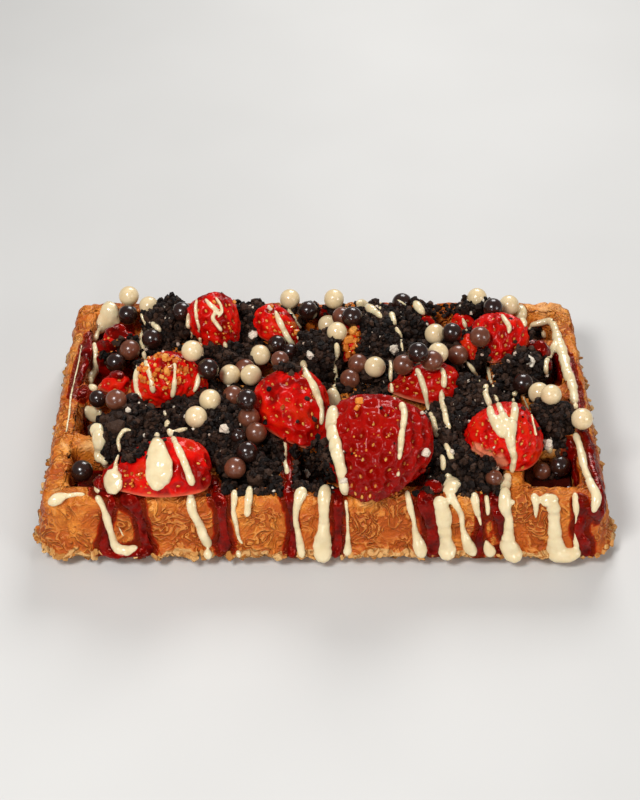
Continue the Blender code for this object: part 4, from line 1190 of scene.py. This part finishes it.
sauceRuns = {
    "frontLeftRight": ((126, 497, 7), (136, 508, 5), (142, 524, 3.6), (144, 539, 3.4),
        (149, 552, 4.6)),
    "frontLeftLeft": ((112, 500, 3.6), (109, 515, 2.6), (105, 534, 2.8), (104, 553, 4.4)),
    "frontLeftFoot": ((106, 552, 4), (122, 553, 4), (138, 552, 4.4), (150, 551, 3.6)),
    "frontLeftStreak": ((214, 493, 3), (221, 503, 4.6), (222, 519, 3.2), (224, 535, 4),
        (224, 548, 5.6)),
    "frontMiddle": ((290, 481, 2.6), (288, 492, 4), (291, 506, 3), (293, 524, 2.2), (293, 540, 3),
        (291, 555, 3.6)),
    "frontBehindBerry": ((337, 490, 4), (338, 504, 3.8), (338, 521, 3.2), (338, 540, 3.6),
        (337, 556, 3)),
    "frontBehindLow": ((331, 545, 3), (336, 556, 4)),
    "frontRightBroad": ((424, 494, 6), (427, 507, 6.4), (431, 521, 5), (433, 536, 5),
        (432, 552, 5.6)),
    "frontRightSliver": ((482, 494, 1.8), (481, 509, 1.8), (481, 525, 1.8), (479, 541, 3.2),
        (478, 553, 4)),
    "frontRightThird": ((493, 494, 3.6), (496, 508, 4.4), (500, 521, 3.2), (501, 536, 2)),
    "frontRightFoot": ((498, 549, 2.6), (504, 556, 3.6)),
    "frontFar": ((579, 500, 3.4), (582, 515, 4.6), (579, 531, 4), (585, 545, 4.6), (586, 557, 4)),
    "frontFarCorner": ((588, 508, 3), (596, 514, 4), (600, 520, 3)),
    "rightWall": ((560, 345, 1.8), (569, 359, 2), (574, 378, 2), (579, 400, 1.8), (581, 425, 1.8),
        (588, 442, 2.6), (592, 463, 2.8), (597, 480, 2.4), (602, 498, 2.4), (603, 515, 2.2)),
    "rightInner": ((552, 350, 3), (549, 362, 3), (551, 376, 2.4)),
    "rightPocketWall": ((568, 440, 3), (572, 455, 3.6), (574, 470, 3.4), (577, 485, 3)),
    "leftRib": ((92, 335, 2.4), (88, 347, 3.6), (87, 359, 3.8), (83, 371, 2.8), (79, 383, 1.8)),
    "leftWallThread": ((84, 344, 1), (78, 364, 1.1), (74, 380, 1.1), (71, 396, 1)),
    "leftRibSecond": ((80, 396, 4), (85, 390, 3.4)), "leftSpot": ((84, 425, 2), (87, 431, 3)),
    "rearLeftRib": ((100, 330, 3), (112, 332, 5), (126, 337, 5)),
    "ribCentre": ((285, 437, 2), (288, 452, 2.6), (289, 468, 2.4), (289, 480, 2.8)),
    "rearRim": ((380, 305, 4), (388, 309, 4)), "rearMiddle": ((320, 312, 5), (326, 317, 4)),
    "rearRight": ((528, 344, 5), (537, 345, 6), (545, 350, 5.4), (547, 358, 3.6)),
    "rightInnerWall": ((556, 354, 3), (557, 363, 5), (558, 372, 5), (562, 379, 3.4)),
    "rearLeftWall": ((100, 334, 4), (107, 330, 5), (117, 329, 5), (129, 331, 4)),
    "leftRibTop": ((98, 344, 4), (105, 346, 6), (114, 347, 4.6)),
    "leftPocketWall": ((100, 357, 4), (101, 367, 4.6), (107, 373, 5), (118, 375, 5),
        (130, 370, 4.6)),
    "frontLeftEnd": ((97, 476, 4), (102, 486, 6), (110, 493, 6)),
    "pocketFront": ((422, 470, 4), (430, 484, 5), (440, 488, 4)),
    "berryEdge": ((338, 437, 1.4), (344, 458, 1.6), (347, 478, 1.4)),
    "leftFrontWall": ((214, 480, 3), (216, 490, 3)),
}
stripeRun = {"stripe": ((396, 299, 1.0), (403, 303, 1.2), (409, 308, 0.9))}
drizzle = dict(  # cream, sauce and stripe: height per width, height added to that, most height
    step=0.0005, cell=0.000405, jump=0.0050, thinnest=0.5, ends=(0.70, 0.88, 0.97), evenShare=0.6,
    evenTurns=4, drawnIn=0.6, lifted=0.25, waves=((0.22, 0.0026), (0.10, 0.0011)),
    cream=(0.27, 0.00045, 0.0018), sauce=(0.08, 0.00028, 0.0007), stripe=(0.1, 0.0002, 0.0004),
    clear=0.55, clearEdge=0.0004, crumbsOnCream=0.03)


def alongRun(points):
    # evenly spaced places on a smooth line through the run's points: x, y and width
    spots = [Vector(p) for p in points]
    ends = [spots[0] * 2 - spots[1]] + spots + [spots[-1] * 2 - spots[-2]]
    placed = []
    for k in range(1, len(ends) - 2):
        a, b, c, d = ends[k - 1:k + 3]
        count = max(2, int((c - b).xy.length / 3.0 * 0.001 / drizzle["step"]))
        for j in range(count):
            t = j / count
            bend = (2 * a - 5 * b + 4 * c - d) * t * t
            placed.append(0.5 * (2 * b + (c - a) * t + bend + (3 * b - a - 3 * c + d) * t ** 3))
    placed.append(spots[-1])
    return placed


def layOn(points, tree):
    # where the run lies on the skins below it; a new stretch starts where it drops far
    stretches = [[]]
    for spot in alongRun(points):
        place, normal = seenAt(spot.xy, tree)
        if place is None:
            continue
        if stretches[-1] and (place - stretches[-1][-1][0]).length > drizzle["jump"]:
            stretches.append([])
        stretches[-1].append((place, normal, max(drizzle["thinnest"], spot.z) / 1000))
    return [stretch for stretch in stretches if len(stretch) > 1]


def dropsAlong(stretch, rise, lift, most):
    # flat drops, thinner towards both ends, with the place and width of each
    (wave, waveSize), (ripple, rippleSize) = drizzle["waves"]
    for k, (place, normal, width) in enumerate(stretch):
        near = stretch[max(0, k - 2):k + 3]
        middle = sum((n[0] for n in near), Vector()) / len(near)
        up = sum((n[1] for n in near), Vector()).normalized()
        width *= 1 + wave * noise.noise(place / waveSize) + ripple * noise.noise(place / rippleSize)
        fromEnd = min(k, len(stretch) - 1 - k)
        if fromEnd < len(drizzle["ends"]):
            width *= drizzle["ends"][fromEnd]
        height = min(most, lift + rise * width)
        across = standing(up, 0.0, (width / 2, width / 2, height))
        centre = place.lerp(middle, drizzle["drawnIn"]) + up * height * drizzle["lifted"]
        yield (0, across, centre, 0.5), (place, width)


def runMesh(name, runs, tree, sizes):
    # a chain of flat drops along each stretch, melted into one skin
    laid = [pair for points in runs.values() for stretch in layOn(points, tree)
            for pair in dropsAlong(stretch, *sizes)]
    drops, marks = [drop for drop, mark in laid], [mark for drop, mark in laid]
    chain = meshOfCopies(name + "_drops", templates("drop", 1), drops)[0]
    obj = bpy.data.objects.new(name, chain)
    scene.collection.objects.link(obj)
    cell = obj.modifiers.new("cell", "REMESH")
    cell.mode = "VOXEL"
    cell.voxel_size = drizzle["cell"]
    even = obj.modifiers.new("even", "SMOOTH")
    even.factor = drizzle["evenShare"]
    even.iterations = drizzle["evenTurns"]
    bpy.context.view_layer.update()
    graph = bpy.context.evaluated_depsgraph_get()
    mesh = bpy.data.meshes.new_from_object(obj.evaluated_get(graph))
    bpy.data.objects.remove(obj)
    return mesh, marks


sauceMesh, sauceMarks = runMesh("red_sauce", sauceRuns, crumbTree, drizzle["sauce"])
addPiece("red_sauce", sauceMesh, skins["redSauce"])
creamMesh, creamMarks = runMesh("white_cream", creamRuns, crumbTree, drizzle["cream"])
addPiece("white_cream", creamMesh, skins["whiteCream"])
stripeMesh = runMesh("pearl_stripe", stripeRun, treeOf([pearls["dark"]]), drizzle["stripe"])[0]
addPiece("pearl_stripe", stripeMesh, skins["whiteCream"])
underCream = nearTree([place for place, width in creamMarks])
print("cream and sauce laid:", len(creamMesh.polygons), "and", len(sauceMesh.polygons), "faces")


def clearOfCream(places):
    # a few crumbs stay on the cream, the rest would poke through it
    for place, normal in places:
        k, distance = underCream.find(place)[1:]
        clear = drizzle["clear"] * creamMarks[k][1] + drizzle["clearEdge"]
        if distance > clear or rng.random() < drizzle["crumbsOnCream"]:
            yield place, normal


def makeGrains(strips=4):
    # all the loose grains, sorted from left to right into a few pieces
    grains = []
    for places in (overHeaps(crumbs["grains"]),
                   overCarpet(crumbs["carpetGrains"], crumbTree, crumbs["onBerries"]),
                   overPacked(crumbs["packedGrains"], crumbTree)):
        grains += [grainOn(place, normal, *crumbs["grain"]) for place, normal in clearOfCream(places)]
    grains.sort(key=lambda grain: grain[2].x)
    count = len(grains) // strips + 1
    for k in range(strips):
        joinCopies("cookie_grains_%d" % (k + 1), templates("crumb", crumbs["grain"][2]),
                   grains[k * count:(k + 1) * count], "cookieCrumb")
    print("grains laid:", len(grains))


makeGrains()


# torn flakes along the foot of the crust

flakes = dict(
    count=1500, lowest=0.0004, highest=0.0058, curve=1.7, smallest=0.0005, largest=0.0014, thin=0.45,
    squash=(0.8, 1.4), tilt=0.9, shapes=3, patchSize=0.008, bareBelow=-0.25, reach=1.35, clearance=0.0004,
    away=0.2)


def towardsSide(along, z):
    # a start outside the crust and the way to its side, at this distance round the part
    low, high = cadBox
    wide, deep = high[0] - low[0], high[1] - low[1]
    if along < 2 * wide:
        way = 1 if along < wide else -1
        return Vector((low[0] + along % wide, -flakes["away"] * way, z)), Vector((0, way, 0))
    along -= 2 * wide
    way = 1 if along < deep else -1
    return Vector((-flakes["away"] * way, low[1] + along % deep, z)), Vector((way, 0, 0))


def footFlakes():
    tree = treeOf([waffle])
    around = 2 * sum(cadBox[1][k] - cadBox[0][k] for k in range(2))
    squash = flakes["squash"]
    copies = []
    for k in range(flakes["count"]):
        along = rng.uniform(0, around)
        z = flakes["lowest"] + (flakes["highest"] - flakes["lowest"]) * rng.random() ** flakes["curve"]
        place, normal = tree.ray_cast(*towardsSide(along, z))[:2]
        if place is None or noise.noise(place / flakes["patchSize"]) < flakes["bareBelow"]:
            continue
        size = rng.uniform(flakes["smallest"], flakes["largest"])
        up = tilted(normal, flakes["tilt"])
        scale = (size * rng.uniform(*squash), size * rng.uniform(*squash), size * flakes["thin"])
        place.z = max(place.z, size * flakes["reach"] + flakes["clearance"])
        which = rng.randrange(flakes["shapes"])
        copies.append((which, standing(up, rng.uniform(0, wholeTurn), scale), place, rng.random()))
    joinCopies("torn_flakes", templates("chunk", flakes["shapes"], 5), copies, "tornCrust")
    print("flakes made:", len(copies))


footFlakes()


# crust marks: torn seam, soaked patches and painted shade in the hollows

stains = dict(search=0.0060, soakedFrom=0.7, soakedTo=1.9, soakedEdge=0.0006, tornFrom=0.0050, tornTo=0.0074,
              tornUneven=0.0022, tornSize=0.007, hollow=0.9, hollowFrom=0.1, floorShade=0.25)


def markCrust():
    soaked = nearTree([place for place, width in sauceMarks])
    values = []
    for v, (share, crag, kind) in zip(waffle.data.vertices, crustFacts):
        wet = 0.0
        for place, k, distance in soaked.find_range(v.co, stains["search"]):
            reach = sauceMarks[k][1] / 2 + stains["soakedEdge"]
            wet = max(wet, 1 - smoothStep(stains["soakedFrom"], stains["soakedTo"], distance / reach))
        torn = 0.0
        if kind in (onSide, onFoot):
            height = v.co.z + stains["tornUneven"] * noise.noise(v.co / stains["tornSize"])
            torn = 1 - smoothStep(stains["tornFrom"], stains["tornTo"], height)
        # painted shade: darker where the crags dip and on the pocket floors
        cavityShade = max(0.0, min(1.0, -crag * stains["hollow"] - stains["hollowFrom"]))
        if kind == onTop:
            cavityShade += stains["floorShade"] * share
        values.append((torn, wet, min(1.0, cavityShade)))
    setMarks(waffle.data, "crustMarks", values)


markCrust()
print("crust marked")


# camera, light and floor

studio = dict(
    world=(0.95, 0.95, 0.95, 1.0), worldStrength=0.20, lightsAim=(0, 0, 0.02), floorSize=3.0,
    lights={"keyLight": ((-0.24, -0.34, 0.56), 0.18, 3.3), "fillLight": ((0.46, -0.36, 0.30), 0.22, 1.1),
            "rearLight": ((0.10, 0.50, 0.46), 0.28, 2.6), "frontLight": ((-0.12, -0.62, 0.20), 0.07, 0.55)})


def makeStudio():
    cameraData = bpy.data.cameras.new("camera")
    cameraData.sensor_width = view["sensor"]
    cameraData.lens = view["focal"] * view["sensor"] / view["pictureHeight"]
    cameraData.clip_start = view["clipStart"]
    camera = bpy.data.objects.new("camera", cameraData)
    camera.location = cameraPlace
    camera.rotation_euler = (math.radians(90 - view["elevation"]), 0, 0)
    scene.collection.objects.link(camera)
    scene.camera = camera
    scene.view_settings.view_transform = "Standard"
    world = bpy.data.worlds.new("studio")
    world.use_nodes = True
    background = world.node_tree.nodes["Background"]
    background.inputs["Color"].default_value = studio["world"]
    background.inputs["Strength"].default_value = studio["worldStrength"]
    scene.world = world
    for name, (place, size, power) in studio["lights"].items():
        lamp = bpy.data.lights.new(name, "AREA")
        lamp.size = size
        lamp.energy = power
        light = bpy.data.objects.new(name, lamp)
        light.location = place
        towards = Vector(studio["lightsAim"]) - Vector(place)
        light.rotation_euler = towards.to_track_quat("-Z", "Y").to_euler()
        scene.collection.objects.link(light)
    bm = bmesh.new()
    bmesh.ops.create_grid(bm, x_segments=1, y_segments=1, size=studio["floorSize"])
    floor = bpy.data.objects.new("floor", meshFrom(bm, "floor"))
    scene.collection.objects.link(floor)
    floor.data.materials.append(skins["paleFloor"])


makeStudio()
print("studio made")
